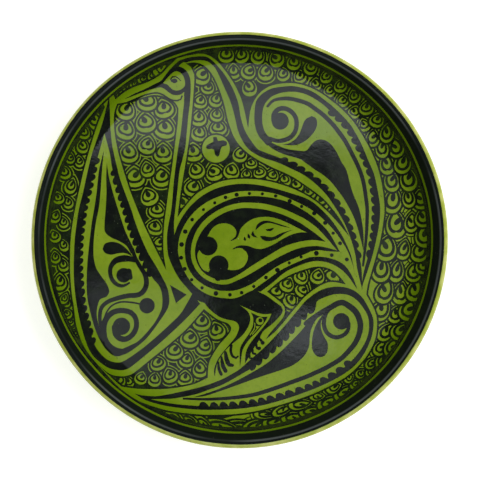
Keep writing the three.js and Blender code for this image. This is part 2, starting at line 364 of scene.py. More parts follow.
class Nodes:
    """Short names for building a node material."""

    def __init__(self, name):
        self.material = bpy.data.materials.new(name)
        self.material.use_nodes = True
        self.tree = self.material.node_tree
        self.shader = self.tree.nodes["Principled BSDF"]
        self.place = self.tree.nodes.new("ShaderNodeTexCoord").outputs["Object"]

    def link(self, source, socket):
        self.tree.links.new(source, socket)

    def put(self, socket, value):
        if isinstance(value, bpy.types.NodeSocket):
            self.link(value, socket)
        else:
            socket.default_value = value

    def noise(self, size_mm, detail=3.0, roughness=0.55, stretch=None):
        node = self.tree.nodes.new("ShaderNodeTexNoise")
        node.inputs["Scale"].default_value = 1 / (size_mm * MM)
        node.inputs["Detail"].default_value = detail
        node.inputs["Roughness"].default_value = roughness
        self.link(self.stretched(stretch) if stretch else self.place, node.inputs["Vector"])
        return node.outputs["Fac"]

    def stretched(self, scale):
        node = self.tree.nodes.new("ShaderNodeMapping")
        node.inputs["Scale"].default_value = scale
        self.link(self.place, node.inputs["Vector"])
        return node.outputs["Vector"]

    def cells(self, size_mm):
        node = self.tree.nodes.new("ShaderNodeTexVoronoi")
        node.inputs["Scale"].default_value = 1 / (size_mm * MM)
        self.link(self.place, node.inputs["Vector"])
        return node.outputs["Distance"]

    def math(self, operation, a, b=0.0):
        node = self.tree.nodes.new("ShaderNodeMath")
        node.operation = operation
        self.put(node.inputs[0], a)
        self.put(node.inputs[1], b)
        return node.outputs[0]

    def ramp(self, value, low, high, start=0.0, end=1.0):
        """Maps low..high to start..end, smoothly and without passing either end."""
        node = self.tree.nodes.new("ShaderNodeMapRange")
        node.interpolation_type = "SMOOTHSTEP"
        for socket, number in zip(("From Min", "From Max", "To Min", "To Max"), (low, high, start, end)):
            node.inputs[socket].default_value = number
        self.link(value, node.inputs["Value"])
        return node.outputs["Result"]

    def mix(self, factor, a, b):
        node = self.tree.nodes.new("ShaderNodeMix")
        node.data_type = "RGBA"
        self.put(node.inputs[0], factor)
        self.put(node.inputs[6], a)
        self.put(node.inputs[7], b)
        return node.outputs[2]

    def specks(self, size_mm, low, high, spread_mm, start, end):
        """Pinholes, where cells have their middles and a wider noise is high."""
        pits = self.ramp(self.cells(size_mm), low, high, 1, 0)
        return self.math("MULTIPLY", pits, self.ramp(self.noise(spread_mm, 2), start, end))

    def radius(self):
        """Distance from the axis of the plate, in metres."""
        flat = self.tree.nodes.new("ShaderNodeVectorMath")
        flat.operation = "MULTIPLY"
        flat.inputs[1].default_value = (1, 1, 0)
        self.link(self.place, flat.inputs[0])
        length = self.tree.nodes.new("ShaderNodeVectorMath")
        length.operation = "LENGTH"
        self.link(flat.outputs["Vector"], length.inputs[0])
        return length.outputs["Value"]

    def bump(self, height, depth_mm, normal=None):
        node = self.tree.nodes.new("ShaderNodeBump")
        node.inputs["Distance"].default_value = depth_mm * MM
        node.inputs["Strength"].default_value = 1.0
        self.link(height, node.inputs["Height"])
        if normal:
            self.link(normal, node.inputs["Normal"])
        return node.outputs["Normal"]

    def pinholed(self, specks, depth_mm, normal):
        return self.bump(self.math("SUBTRACT", 1.0, specks), depth_mm, normal)

    def finish(self, colour, roughness, normal, ior=1.5):
        self.put(self.shader.inputs["Base Color"], colour)
        self.put(self.shader.inputs["Roughness"], roughness)
        self.link(normal, self.shader.inputs["Normal"])
        self.shader.inputs["IOR"].default_value = ior
        return self.material


def rgb(*screen):
    """A colour as it is seen on screen, from 0 to 255, turned into a node colour."""
    shares = [c / 255 for c in screen]
    return tuple(((c + 0.055) / 1.055) ** 2.4 if c > 0.04 else c / 12.92 for c in shares) + (1.0,)


def front_glaze():
    n = Nodes("green_glaze")
    radius = n.radius()
    colour = n.mix(n.ramp(n.noise(34, 4), 0.3, 0.7), rgb(104, 129, 20), rgb(120, 142, 30))
    colour = n.mix(n.ramp(n.noise(3.2, 5, 0.7), 0.35, 0.75, 0, 0.35), colour, rgb(84, 110, 14))
    pooled = n.ramp(radius, 0.111, 0.122)
    colour = n.mix(pooled, colour, rgb(92, 120, 6))
    lip = n.ramp(radius, 0.1305, 0.1335)
    worn = n.mix(n.ramp(n.noise(9, 4), 0.35, 0.7), rgb(150, 161, 62), rgb(180, 184, 104))
    colour = n.mix(lip, colour, worn)
    specks = n.specks(2.3, 0.08, 0.16, 5, 0.5, 0.62)
    colour = n.mix(specks, colour, rgb(52, 66, 20))
    skin = n.bump(n.noise(1.6, 2), 0.01, n.bump(n.noise(6, 3), 0.045))
    skin = n.pinholed(specks, 0.05, skin)
    roughness = n.ramp(n.noise(14, 3), 0.3, 0.7, 0.07, 0.11)
    return n.finish(colour, roughness, skin)


def black_ink(name, dark, thin, share, highlight_radius=None, gloss=0.07, ior=1.5):
    """Black underglaze paint. An optional radius in millimetres lays a painted highlight there: a lighter grey
    ring, in patches, standing for the lamps' reflection on the lip.
    """
    n = Nodes(name)
    wash = n.ramp(n.noise(7, 4, 0.6), 0.42, 0.72, 0, share)
    colour = n.mix(wash, dark, thin)
    if highlight_radius:
        # Painted highlight: a lighter grey ring, in patches, where the lip would mirror the lamps.
        off_highlight = n.math("ABSOLUTE", n.math("SUBTRACT", n.radius(), highlight_radius * MM))
        highlight_patches = n.ramp(n.noise(90, 1), 0.38, 0.56, 0.12, 1)
        painted_highlight = n.math("MULTIPLY", n.ramp(off_highlight, 0.0002, 0.0008, 1, 0), highlight_patches)
        colour = n.mix(painted_highlight, colour, rgb(74, 79, 78))
    specks = n.specks(2.7, 0.07, 0.14, 6, 0.5, 0.62)
    colour = n.mix(specks, colour, rgb(62, 72, 50))
    skin = n.bump(n.noise(1.6, 2), 0.01, n.bump(n.noise(6, 3), 0.045))
    skin = n.pinholed(specks, 0.05, skin)
    roughness = n.ramp(n.noise(14, 3), 0.3, 0.7, gloss, gloss + 0.04)
    return n.finish(colour, roughness, skin, ior)


def back_glaze():
    n = Nodes("back_glaze")
    colour = n.mix(n.ramp(n.noise(26, 4), 0.3, 0.7), rgb(132, 150, 48), rgb(158, 170, 78))
    runs = n.ramp(n.noise(9, 3, 0.5, (1, 1, 0.25)), 0.45, 0.7, 0, 0.6)
    colour = n.mix(runs, colour, rgb(104, 126, 30))
    thin = n.ramp(n.radius(), 0.131, 0.1345)
    colour = n.mix(thin, colour, rgb(190, 196, 110))
    specks = n.specks(3.1, 0.08, 0.17, 6, 0.48, 0.6)
    colour = n.mix(specks, colour, rgb(70, 70, 34))
    skin = n.bump(n.noise(4.5, 3), 0.08)
    skin = n.pinholed(specks, 0.06, skin)
    roughness = n.ramp(n.noise(12, 3), 0.3, 0.7, 0.14, 0.3)
    return n.finish(colour, roughness, skin)


def bare_clay():
    n = Nodes("bare_clay")
    colour = n.mix(n.ramp(n.noise(18, 4), 0.3, 0.7), rgb(206, 170, 132), rgb(186, 146, 108))
    grit = n.ramp(n.noise(0.8, 4, 0.7), 0.45, 0.7, 0, 0.5)
    colour = n.mix(grit, colour, rgb(226, 198, 164))
    grog = n.ramp(n.cells(1.9), 0.12, 0.2, 1, 0)
    colour = n.mix(n.math("MULTIPLY", grog, 0.7), colour, rgb(120, 84, 62))
    skin = n.bump(n.noise(0.7, 4, 0.7), 0.09)
    skin = n.bump(n.noise(2.0, 2, 0.5, (0.1, 0.1, 3)), 0.07, skin)
    return n.finish(colour, n.ramp(n.noise(3, 3), 0.3, 0.7, 0.72, 0.9), skin)


GREEN = front_glaze()
# The rim band's paint carries the painted highlight ring.
BAND_BLACK = black_ink("band_paint", rgb(17, 22, 20), rgb(24, 31, 24), 0.5, HIGHLIGHT_RING, 0.3, 1.22)
BLACK = black_ink("black_paint", rgb(17, 20, 18), rgb(28, 36, 22), 0.6)
SCALE_BLACK = black_ink("scale_paint", rgb(20, 27, 17), rgb(36, 50, 18), 0.8)
BACK = back_glaze()
CLAY = bare_clay()


# ---- Clay, glaze and foot ------------------------------------------------------------------------

def face_profile(depth, low, high, count):
    """Points of the food side sunk by depth, between two turns of its slope: floor, knuckle and wall."""
    points = []
    for slope in steps(low, high, count):
        if slope <= DISH_SLOPE:
            centre, reach = DISH_CENTRE, DISH_RADIUS + depth
        else:
            centre, reach = KNUCKLE_CENTRE, KNUCKLE_RADIUS + depth
        points.append((centre[0] + reach * math.sin(slope), centre[1] - reach * math.cos(slope)))
    return points


def wall_point(depth):
    return (WALL_END[0] + depth * math.sin(WALL_SLOPE), WALL_END[1] - depth * math.cos(WALL_SLOPE))


def lip_profile(depth, start, end, count):
    """Points round the lip. Turn 0 is the end of the food side and turn pi the start of the back."""
    reach = LIP_RADIUS - depth
    return [
        (LIP_CENTRE[0] - reach * math.sin(WALL_SLOPE - a), LIP_CENTRE[1] + reach * math.cos(WALL_SLOPE - a))
        for a in steps(start, end, count)
    ]


def whole_side(depth, floor_steps=40, knuckle_steps=16):
    floor = face_profile(depth, 0.0004, DISH_SLOPE, floor_steps)
    knuckle = face_profile(depth, DISH_SLOPE + 0.001, WALL_SLOPE, knuckle_steps)
    start = knuckle[-1]
    end = wall_point(depth)
    wall = [(start[0] + (end[0] - start[0]) * t, start[1] + (end[1] - start[1]) * t) for t in steps(0, 1, 8)]
    return floor + knuckle + wall[1:]


def following(points, follows=1.0):
    return [(radius, height, follows) for radius, height in points]


def split_profile(points, radius):
    """A profile that runs outwards, cut at one radius: the part nearer the axis, and the part beyond."""
    for a, b in zip(points, points[1:]):
        if a[0] < radius <= b[0]:
            share = (radius - a[0]) / (b[0] - a[0])
            cut = [(radius, a[1] + (b[1] - a[1]) * share)]
            return [p for p in points if p[0] < radius] + cut, cut + [p for p in points if p[0] > radius]


def make_clay():
    depth = GLAZE + 0.02
    section = following(whole_side(depth, 14, 10))
    section += following(lip_profile(depth, 0.1, math.pi - 0.1, 8))
    section += following(reversed(whole_side(WALL_THICKNESS - depth, 14, 10)))
    turn("dish_clay", section, CLAY, ["clay_body"], 128)


def make_front_glaze():
    over = math.radians(150)
    outer = whole_side(0) + lip_profile(0, 0, over, 16)[1:]
    inner = lip_profile(GLAZE, over, 0, 16)[:-1] + list(reversed(whole_side(GLAZE, 14, 10)))
    turn("food_side_glaze", following(outer) + following(inner), GREEN, ["glaze_front"])


def make_back_glaze():
    start = FOOT_OUTER + 0.6
    over = math.radians(128)
    skin, root = (
        split_profile(whole_side(WALL_THICKNESS - depth), start)[1] + lip_profile(depth, math.pi, over, 6)[1:]
        for depth in (0, GLAZE)
    )
    count = len(skin)

    def drips(angle, i):
        """The glaze ends above the foot in a wavering, slightly thicker line."""
        reach = 2.2 + 1.6 * noise.noise(Vector((math.cos(angle) * 2.3, math.sin(angle) * 2.3, 5.0)))
        reach += 1.1 * noise.noise(Vector((math.cos(angle) * 9, math.sin(angle) * 9, 1.0)))
        if i in (0, 2 * count - 1):
            return (max(0.2, reach), 0.0 if i else -0.15)
        return (0.0, 0.0)

    section = following(skin) + following(reversed(root))
    turn("underside_glaze", section, BACK, ["glaze_back"], 320, drips)


def make_base_glaze():
    end = FOOT_INNER - 0.5
    skin, root = (split_profile(whole_side(WALL_THICKNESS - depth), end)[0] for depth in (0, GLAZE))
    section = following(root) + following(reversed(skin))
    turn("foot_well_glaze", section, BACK, ["glaze_base"], 200)


def make_foot():
    """The turned foot, with softened corners and the shallow grooves of the turning tool."""
    under = split_profile(whole_side(WALL_THICKNESS - GLAZE / 2), FOOT_INNER)[1]
    under = split_profile(under, FOOT_OUTER)[0]
    corner = 1.6
    outside = [(FOOT_OUTER - 0.25 * math.sin(h * 2.1), h) for h in steps(corner, under[-1][1] - 0.3, 14)]
    inside = [(FOOT_INNER + 0.15 * math.sin(h * 2.6), h) for h in steps(under[0][1] - 0.3, corner, 10)]
    quarter = steps(0, math.pi / 2, 5)
    round_out = [
        (FOOT_OUTER - corner + corner * math.sin(a), corner - corner * math.cos(a)) for a in quarter
    ]
    round_in = [
        (FOOT_INNER + corner - corner * math.cos(a), corner - corner * math.sin(a)) for a in quarter
    ]
    section = round_out[:-1] + outside + list(reversed(under)) + inside + round_in[1:]
    turn("turned_foot", following(section, 0.0), CLAY, ["foot_ring"], 240)


# ---- Border rings --------------------------------------------------------------------------------

def ring(name, node, inner, outer, waver, seed, material, count, segments=400):
    """A ring painted on the wheel, between two radii, with a slightly wavering brush edge."""
    places = []
    for j in range(segments):
        angle = 2 * math.pi * j / segments
        around = Vector((math.cos(angle) * 3.1, math.sin(angle) * 3.1, seed))
        start = inner + waver * noise.noise(around)
        end = outer + waver * noise.noise(around * 2.2)
        for radius in steps(start, end, count):
            places.append(Vector((radius * math.cos(angle), radius * math.sin(angle))) + PAINT_SHIFT)
    triangles = []
    row = count + 1
    for j in range(segments):
        here, there = j * row, (j + 1) % segments * row
        for i in range(count):
            a, b, c, d = here + i, here + i + 1, there + i + 1, there + i
            triangles += [(a, b, c), (a, c, d)]
    coat(name, places, triangles, material, [node])


# ---- Scales --------------------------------------------------------------------------------------

def teardrop(x, y, width, height, tilt, lift=0.0, notch=0.0):
    """A drop with its round end down before it is tilted, its point up. notch dents the round end."""
    count = 26 if width > 3 else 12
    cos_tilt, sin_tilt = math.cos(tilt), math.sin(tilt)
    points = []
    for k in range(count):
        t = 2 * math.pi * k / count
        across = width / 2 * 1.2 * math.sin(t) * abs(math.sin(t / 2)) ** 0.6
        dent = notch * math.exp(-((t - math.pi) / 0.22) ** 2)
        along = height / 2 * math.cos(t) + lift + dent
        right, up = across * cos_tilt - along * sin_tilt, across * sin_tilt + along * cos_tilt
        points.append(Vector((x + right, y + up)))
    return points


def scale_sizes(centres):
    """Each scale is as wide as its nearest neighbours leave room for."""
    sizes = []
    for i, centre in enumerate(centres):
        gaps = sorted((Vector(centre) - Vector(other)).length for j, other in enumerate(centres) if j != i)
        near = sum(gaps[:2]) / 2
        sizes.append(min(max(near * 0.93, 5.5), 12.5))
    return sizes


def draw_scales(centres, tilt_of, chance, slim, inked):
    """Drops in drops: a bare drop, an inked one, a bare one and a dark heart. Upper scales lie on top.

    Scales on an inked ground lie bare on it, with thin echo lines. The others are taller and outlined.
    """
    sizes = scale_sizes(centres)
    order = sorted(range(len(centres)), key=lambda i: centres[i][1])
    echoes, scales = [], []
    for i in order:
        x, y = centres[i]
        grounded = any(encloses(shape, np.array([(x, y)]))[0] for shape in inked)
        size = sizes[i] * chance.uniform(0.97, 1.07) * (1 if grounded else 1.12)
        tilt = tilt_of(x, y) + chance.uniform(-0.4, 0.4) * (1 if grounded else 0.5)
        wide = size * slim * chance.uniform(0.92, 1.06)
        tall = size * (chance.uniform(1.0, 1.14) if grounded else chance.uniform(1.25, 1.45))
        lying = min(1.0, max(0.0, -tilt_of(x, y) - 0.5))
        wide *= 1 - 0.35 * lying
        tall *= 1 + 0.35 * lying
        notch = chance.choice((0, 0, 0.5, 0.9)) * size / 12
        line = 0.45 + size * (0.075 if grounded else 0.1)
        lift = 0.05 * tall
        if grounded and chance.random() < 0.85:
            echoes.append((BARE, [teardrop(x, y, wide + 3.9, tall + 4.6, tilt)]))
            echoes.append((INK, [teardrop(x, y, wide + 2.6, tall + 3.0, tilt)]))
        elif not grounded and chance.random() < 0.6:
            echoes.append((INK, [teardrop(x, y, wide + 6.0, tall + 6.6, tilt)]))
            echoes.append((BARE, [teardrop(x, y, wide + 4.6, tall + 5.0, tilt)]))
        inner = (wide * 0.84, tall * (0.74 if grounded else 0.82))
        scales += [
            (INK, [teardrop(x, y, wide + 2.5, tall + 2.8, tilt)]),
            (BARE, [teardrop(x, y, wide, tall, tilt)]),
            (INK, [teardrop(x, y, *inner, tilt, lift, notch)]),
            (BARE, [teardrop(x, y, inner[0] - 2 * line, inner[1] - 2.3 * line, tilt, lift)]),
            (INK, [teardrop(x, y, wide * 0.26, tall * 0.38, tilt + chance.uniform(-0.9, 0.9), lift * 2.6)]),
        ]
    return echoes + scales


def scale_field(name, node, field, centres, tilt_of, seed, slim=1.0, holes=(), edge=1.1, inked=None):
    """Scales inside one outline. inked outlines the parts with a dark ground, or is left out for all of it."""
    inked = inked or field
    layers = [(INK, inked)] + draw_scales(centres, tilt_of, random.Random(seed), slim, inked)
    layers.append((INK, stroke(2 * edge, *[tuple(point) for point in field[0]], loop=True)))
    for x, y, radius in holes:
        layers += [(INK, disc(x, y, radius + edge)), (BARE, disc(x, y, radius))]
    lay_paint(name, layers, SCALE_BLACK, [node] if node else [], within=field)


def arc(radius, start, end, count):
    """Points on a circle about the middle, between two angles in degrees."""
    angles = [math.radians(angle) for angle in steps(start, end, count)]
    return [(radius * math.cos(a), radius * math.sin(a)) for a in angles]


def hanging(x, y):
    return 0.0


def round_the_rim(x, y):
    """The drops hang at the top and the right, and lie along the rim at the bottom."""
    return min(0.0, math.atan2(y, x))


def make_scales():
    scale_field("paint_scales_left_rim", "scales_left_rim", outline(
        arc(FIELD_RADIUS, 135, 231, 55),
        [(-78.5, -96.9), (-87.3, -87.5), (-95.2, -78.6), (-99.4, -73), (-101.8, -69), (-104, -64),
         (-106.6, -55.6), (-108, -45.6), (-109.6, -35.6), (-110.7, -20), (-110.3, 0), (-107.3, 20),
         (-101.6, 45), (-96.2, 64), (-92, 76)],
        [(-87.4, 86.2)],
    ), [
        (-94, 78), (-101, 70), (-102, 61), (-110, 53), (-104.5, 51), (-114, 44), (-110, 35), (-118, 27),
        (-112, 24), (-120, 15), (-115, 11), (-120.5, 2), (-115, -4), (-120, -12), (-115, -17), (-117, -28),
        (-114, -39), (-112, -49), (-112.5, -42), (-110, -54), (-107, -61), (-103.6, -67), (-99.6, -73),
        (-95.4, -79),
    ], hanging, 11, 0.8)
    scale_field("paint_scales_nape", "scales_nape", outline(
        [(-79.6, 88.6), (-81.6, 82), (-81.6, 72), (-79.6, 59.4), (-77, 49.4), (-73.8, 39), (-70.8, 30),
         (-63.6, 12), (-55.6, -5)],
        [(-47.6, -21), (-49.4, -8), (-49, 8), (-47.2, 22), (-45.6, 34), (-43.4, 49), (-42.1, 59.4),
         (-40.8, 69.4), (-39.6, 79.4)],
        [(-39.4, 86), (-42, 90), (-48, 93.4), (-56, 94.5), (-66, 92), (-73, 90)],
    ), [
        (-74, 85), (-60, 91), (-49, 86), (-61, 77), (-74, 72), (-48, 73), (-60, 62), (-72, 57), (-49.5, 57),
        (-60, 46), (-68.5, 41), (-50.5, 41), (-59, 28), (-53.5, 19), (-55, 7.5), (-52, -3), (-50, -12),
    ], hanging, 12)
    scale_field("paint_scales_breast", "scales_breast", outline(
        [(-40, 14), (-38, 30), (-35, 48), (-32, 68), (-30, 88), (-28.8, 105), (-29.6, 109.6), (-31.4, 113)],
        [(-34.4, 114.9), (-29, 115.7), (-23.6, 114.4), (-19, 110.6), (-14.5, 103.4), (-9.5, 90), (-6, 76),
         (-1, 64.5), (8, 55.5), (21, 48), (36, 41), (50, 31.6), (57, 26), (62.8, 19.4), (68.8, 11)],
        [(74, 1), (66.6, 10.2), (59, 18.2), (50, 25.8), (36, 33.2), (20, 38), (4, 39.5), (-12, 37.5),
         (-26, 30.5), (-35, 21)],
    ), [
        (-24, 108), (-20, 100), (-25, 91), (-14.5, 92), (-26, 80), (-14, 82), (-25.5, 70), (-13, 73.5),
        (-29.5, 57.5), (-27.5, 45.5), (-15.5, 44), (1.5, 56), (-4, 45), (-29.5, 34), (9, 50), (6, 42.5),
        (14.5, 44), (23, 42), (31, 39), (39, 35.5), (47, 30.5), (54.5, 25), (-36, 23),
    ], hanging, 13, holes=[(-14.5, 59.4, 9.2)])
    dark_top = outline([(-40, 130)], [(-40, 60), (80, 70)], [(130, 84), (120, 130)])
    dark_bottom = outline([(-60, -130)], [(-60, -100), (70, -84)], [(110, -90)])
    scale_field("paint_scales_right_rim", "scales_right_rim", outline(
        arc(FIELD_RADIUS, -123, 107.5, 80),
        [(-37.5, 118.9), (-31, 120.2), (-25, 121.1), (-19.5, 120.2), (-14, 116.8), (-9.6, 112), (-4.2, 104.6),
         (-0.4, 98), (3.2, 89)],
        [(6.8, 73), (8.4, 85.5), (12.6, 94), (18, 99), (24, 101.4), (31, 102.4), (38, 102.2), (46, 100.1),
         (53.6, 96.4), (61.1, 91.2), (68.6, 85), (76, 77), (82.4, 67.4), (88, 57), (92.4, 46), (95.2, 34),
         (96.7, 20), (95.6, 8), (93.6, -3), (91.2, -12), (88.6, -21), (86, -30)],
        [(84.8, -37), (90.4, -48), (91.6, -57), (90, -67), (85.4, -76), (79.4, -83.4), (71, -90.9),
         (59, -97.6), (47.3, -103), (31.6, -108.3), (16.2, -112.6), (0.6, -115.2), (-16, -115.9), (-31, -115),
         (-46, -112.6), (-58, -108.9), (-67.9, -104.6)],
    ), [
        (-8, 121), (2, 120.5), (13, 120), (25, 118.5), (36.5, 116), (47.5, 112.5), (-3, 110.5), (7, 110.5),
        (18, 110), (29.5, 108.5), (40.5, 107), (7.5, 100), (57.5, 106.5), (67, 100.5), (76, 93.5), (84, 86),
        (91, 78), (97.5, 69.5), (51, 101.8), (60, 97.5), (68.5, 91), (76.5, 83.5), (83, 75), (88.5, 66.5),
        (103.5, 60), (108, 50), (111.5, 39.5), (94.5, 60), (98, 49.5), (101, 38.5), (112, 27), (102, 25.5),
        (119.4, 26), (104, 10), (114, 11), (121, 14), (121.6, 2), (98, -6), (109, -7), (119, -8), (94.5, -20),
        (104.5, -21), (115, -22), (121, -17.5), (97, -34.5), (107, -35.5), (116, -33.5), (94.5, -47),
        (103.5, -49.5), (111.5, -46.5), (97.5, -61), (106, -60), (93.5, -71.5), (100.5, -71), (87.5, -81.5),
        (94.5, -79.5), (80.5, -88.5), (86.5, -87), (76.5, -95), (68.6, -100.6), (58.4, -107.2),
        (47.4, -112.6), (36, -116.8), (24, -120), (12, -122), (0, -122.8), (-12, -122.3), (-23, -120.8),
        (-33.5, -118.4), (-44, -115.2), (18, -115.6), (29.5, -112.8), (41, -108.8), (52, -103.6), (63, -97.8),
        (73, -91.6),
    ], round_the_rim, 14, 0.9, inked=dark_top + dark_bottom)
    scale_field("paint_scales_tail", "scales_tail", outline(
        [(19.5, -35.5), (30, -27), (42, -21.5), (54, -18.8), (64, -22)],
        [(71.5, -30.5), (62, -28.9), (54, -31.8), (45, -38.4), (40, -44), (36, -48.8), (32.4, -53.2),
         (29.4, -56.8), (25.2, -61.4), (21.6, -64.6)],
        [(18.8, -66.9), (20.4, -64), (24, -59.8), (28.2, -55), (30.6, -51.6), (31.3, -48.4), (30.6, -45),
         (27.4, -41.6)],
    ), [(25.5, -35.5), (33, -30.5), (35.5, -41), (42.5, -25.5), (43, -34.4), (53, -25), (63, -25.5)],
        lambda x, y: -0.5, 15)
    scale_field("paint_scales_legs", "scales_legs", outline(
        [(-22.5, -47), (-34, -60), (-46, -70.5), (-58, -80), (-66, -86.4), (-71, -89.6), (-77, -90.4),
         (-84, -88.6)],
        [(-91, -83), (-86.6, -87.4), (-81, -92.6)],
        [(-76.4, -96.6), (-68, -98.3), (-58, -99), (-45, -98.8), (-30, -96.3)],
        [(-20, -92), (-19, -82), (-13, -71.5), (-5, -62), (-6, -57), (-14, -53.5)],
    ), [
        (-24, -55), (-14, -61), (-32, -66), (-22, -71), (-42, -74), (-34, -80), (-25, -86), (-53, -82),
        (-45, -90), (-35, -92), (-55, -92.6), (-64, -91.6), (-72, -94), (-79, -92.4),
    ], hanging, 16)
    scale_field("paint_scales_brow", None, outline(
        [(-80.5, 91.4), (-75, 95.9), (-70, 98.8), (-65, 100.8), (-60, 102.7), (-55, 105.2), (-50, 108.6),
         (-46, 112.8), (-43, 115.4), (-40.2, 118)],
        arc(FIELD_RADIUS, 108.8, 129.9, 19),
        [(-81.6, 93.9)],
    ), [(-50.5, 111.6), (-56.4, 107.6), (-62.4, 104.6), (-68, 101.8),
        (-73.4, 98.2)], lambda x, y: -0.9, 17, 0.8)


# ---- The bird ------------------------------------------------------------------------------------

def make_bird():
    body = outline(
        [(-34.8, 101.5), (-35.6, 96), (-35.6, 90), (-36.7, 80), (-37.8, 70), (-39.5, 60), (-40.9, 50),
         (-42.4, 38), (-44, 20), (-46.2, 8), (-47, 0), (-46.4, -10), (-44.5, -16), (-41.2, -23),
         (-37.8, -28.3), (-33.8, -32.9)],
        [(-30.3, -36.9), (-27, -41)],
        [(-22, -43), (-19.6, -46.2), (-16.2, -49.3), (-12.1, -52.2), (-7.5, -53.9), (-2.9, -54.8),
         (-0.3, -56.3), (0.9, -58.8), (0.3, -61.7), (-1.7, -65.8), (-4.6, -69.2), (-8.1, -73.3), (-11, -76.7),
         (-13.6, -80.8), (-15.3, -84.8), (-15.9, -88.3)],
        [(-15.3, -91.2), (-14.8, -87.6), (-13.9, -83.6), (-12, -79.4), (-9.2, -75.4), (-5.8, -71.8),
         (-1, -67.8), (2.6, -64.8), (5, -61.8), (7.4, -57.6), (8.3, -53.4), (7.4, -49.8), (5, -47.1)],
        [(1.1, -44.3), (7.4, -47.1), (12.2, -49.2), (17, -50.4)],
        [(22.4, -50.1), (20.6, -54), (17, -58.8), (14, -62.4), (11, -66), (8.6, -69), (6.2, -73.2),
         (5, -77.4)],
        [(4.6, -83), (7, -79), (9, -75), (11.4, -71.5), (14, -67.6), (15.7, -63.4), (18, -60.6),
         (22.4, -57.2), (26, -53.8), (29, -50.2), (29.9, -47.4)],
        [(28.6, -45), (24.2, -41.9), (19.6, -38.5)],
        [(15.6, -36.5), (10, -34.7), (0, -39.4), (-8, -40), (-20, -37.4), (-30, -30.2), (-37, -19),
         (-39.9, -8), (-39.6, -2)],
        [(-42.1, 2.3), (-42.4, 10), (-41.4, 20), (-40.3, 30), (-38.6, 45), (-36.8, 52), (-34.9, 60),
         (-33.9, 70), (-33, 80), (-31.8, 90), (-31.3, 98), (-31.5, 104), (-32.4, 107.6), (-34.5, 110.8),
         (-37, 112.5)],
        [(-39.4, 113.1), (-37.4, 115)],
        [(-35, 116.4), (-37.4, 117.2), (-41, 114.8), (-45, 110.9), (-48.2, 107), (-51, 103.7), (-55, 101.7),
         (-60, 99.1), (-64, 97.2), (-69, 95)],
        [(-74.5, 91.8), (-69, 93.9), (-64, 95.9), (-60, 97.3), (-56, 98.6), (-52, 99.6), (-49.6, 99.2),
         (-47.6, 97.9), (-45, 95.9), (-42.4, 94.7), (-39.6, 94.6), (-37, 95.5), (-34.8, 98)],
    )
    face = outline(
        [(-49.6, 102.3), (-47.5, 104.8), (-45, 107.5), (-42.6, 109.5), (-40.5, 110.1), (-38.2, 109.4),
         (-36.2, 107.2), (-35.1, 104), (-35, 101), (-36.2, 99.3), (-38.2, 98), (-40.6, 97.5), (-43, 98.1),
         (-45, 99.7), (-46.5, 101.3)],
    )
    toes = (
        stroke((1.8, 1.8, 1.7, 1.2), (-4.4, -71), (-4.7, -75), (-3.4, -78.2), (-1.3, -79.2), (0, -78.2))
        + stroke((1.8, 2.6, 3.0, 2), (-8.2, -75.6), (-7.4, -80.4), (-5.8, -83.6), (-3.6, -84))
        + stroke((1.2, 2.6, 2.6), (-10.9, -78.6), (-10, -84), (-8.2, -87.6))
        + stroke((1.0, 2.0, 2.0), (-12.9, -82), (-12.6, -86.4), (-11.1, -89.8))
        + stroke((1.6, 1.6), (14.4, -66.6), (16.2, -68.6)) + disc(16.4, -69.2, 1.4)
        + stroke((1.6, 1.6), (12, -70), (12.8, -72.8), (14, -73.4)) + disc(14.2, -72.9, 1.2)
        + stroke((1.6, 1.4), (9.6, -73.6), (10, -76.2), (11.6, -76.6))
        + stroke((1.4, 1.2), (7.6, -77), (8, -79.4), (9.2, -79.4))
    )
    eye = disc(-41.9, 103.9, 1.9, 0.8) + stroke(
        (1.2, 0.9, 0.9, 0.7, 0.4), (-43.6, 103.6), (-44.4, 105), (-43.2, 106.4), (-41, 106.6), (-39.2, 105.4),
        (-37.7, 103.8)
    )
    chin_line = stroke(1.0, (-73, 89.6), (-65, 93), (-60, 94.9), (-55, 95.9), (-52, 95.7), (-48.6, 94.2),
                       (-45.6, 92.2), (-43, 91.2), (-40, 91), (-37.8, 91.9), (-37, 94))
    shin = outline(
        [(8.6, -49.2), (12.2, -51), (15.8, -52.2)],
        [(19.8, -52), (18.6, -54.6), (15.8, -58.2), (12.2, -62.4), (8.6, -66), (5.6, -69.6), (3.2, -73.8),
         (2.3, -78.6)],
        [(1.4, -84.8), (1.2, -78.6), (1.6, -72.6), (3.8, -68.4), (6.8, -64.2), (9, -60.6), (10.2, -57),
         (10.2, -52.4)],
    )
    shin_marks = (
        disc(14.6, -54.9, 2.6) + disc(12.8, -59, 0.8) + stroke(0.7, (11.3, -56.5), (11, -60), (8.2, -64))
        + stroke(0.6, (14.2, -58.4), (12.2, -60.8), (9.6, -63.8))
    )
    layers = [(INK, body), (BARE, face), (INK, toes + eye + chin_line + shin), (BARE, shin_marks),
              (INK, disc(15, -54.5, 1.4))]
    lay_paint("paint_bird", layers, BLACK, ["bird_figure"])


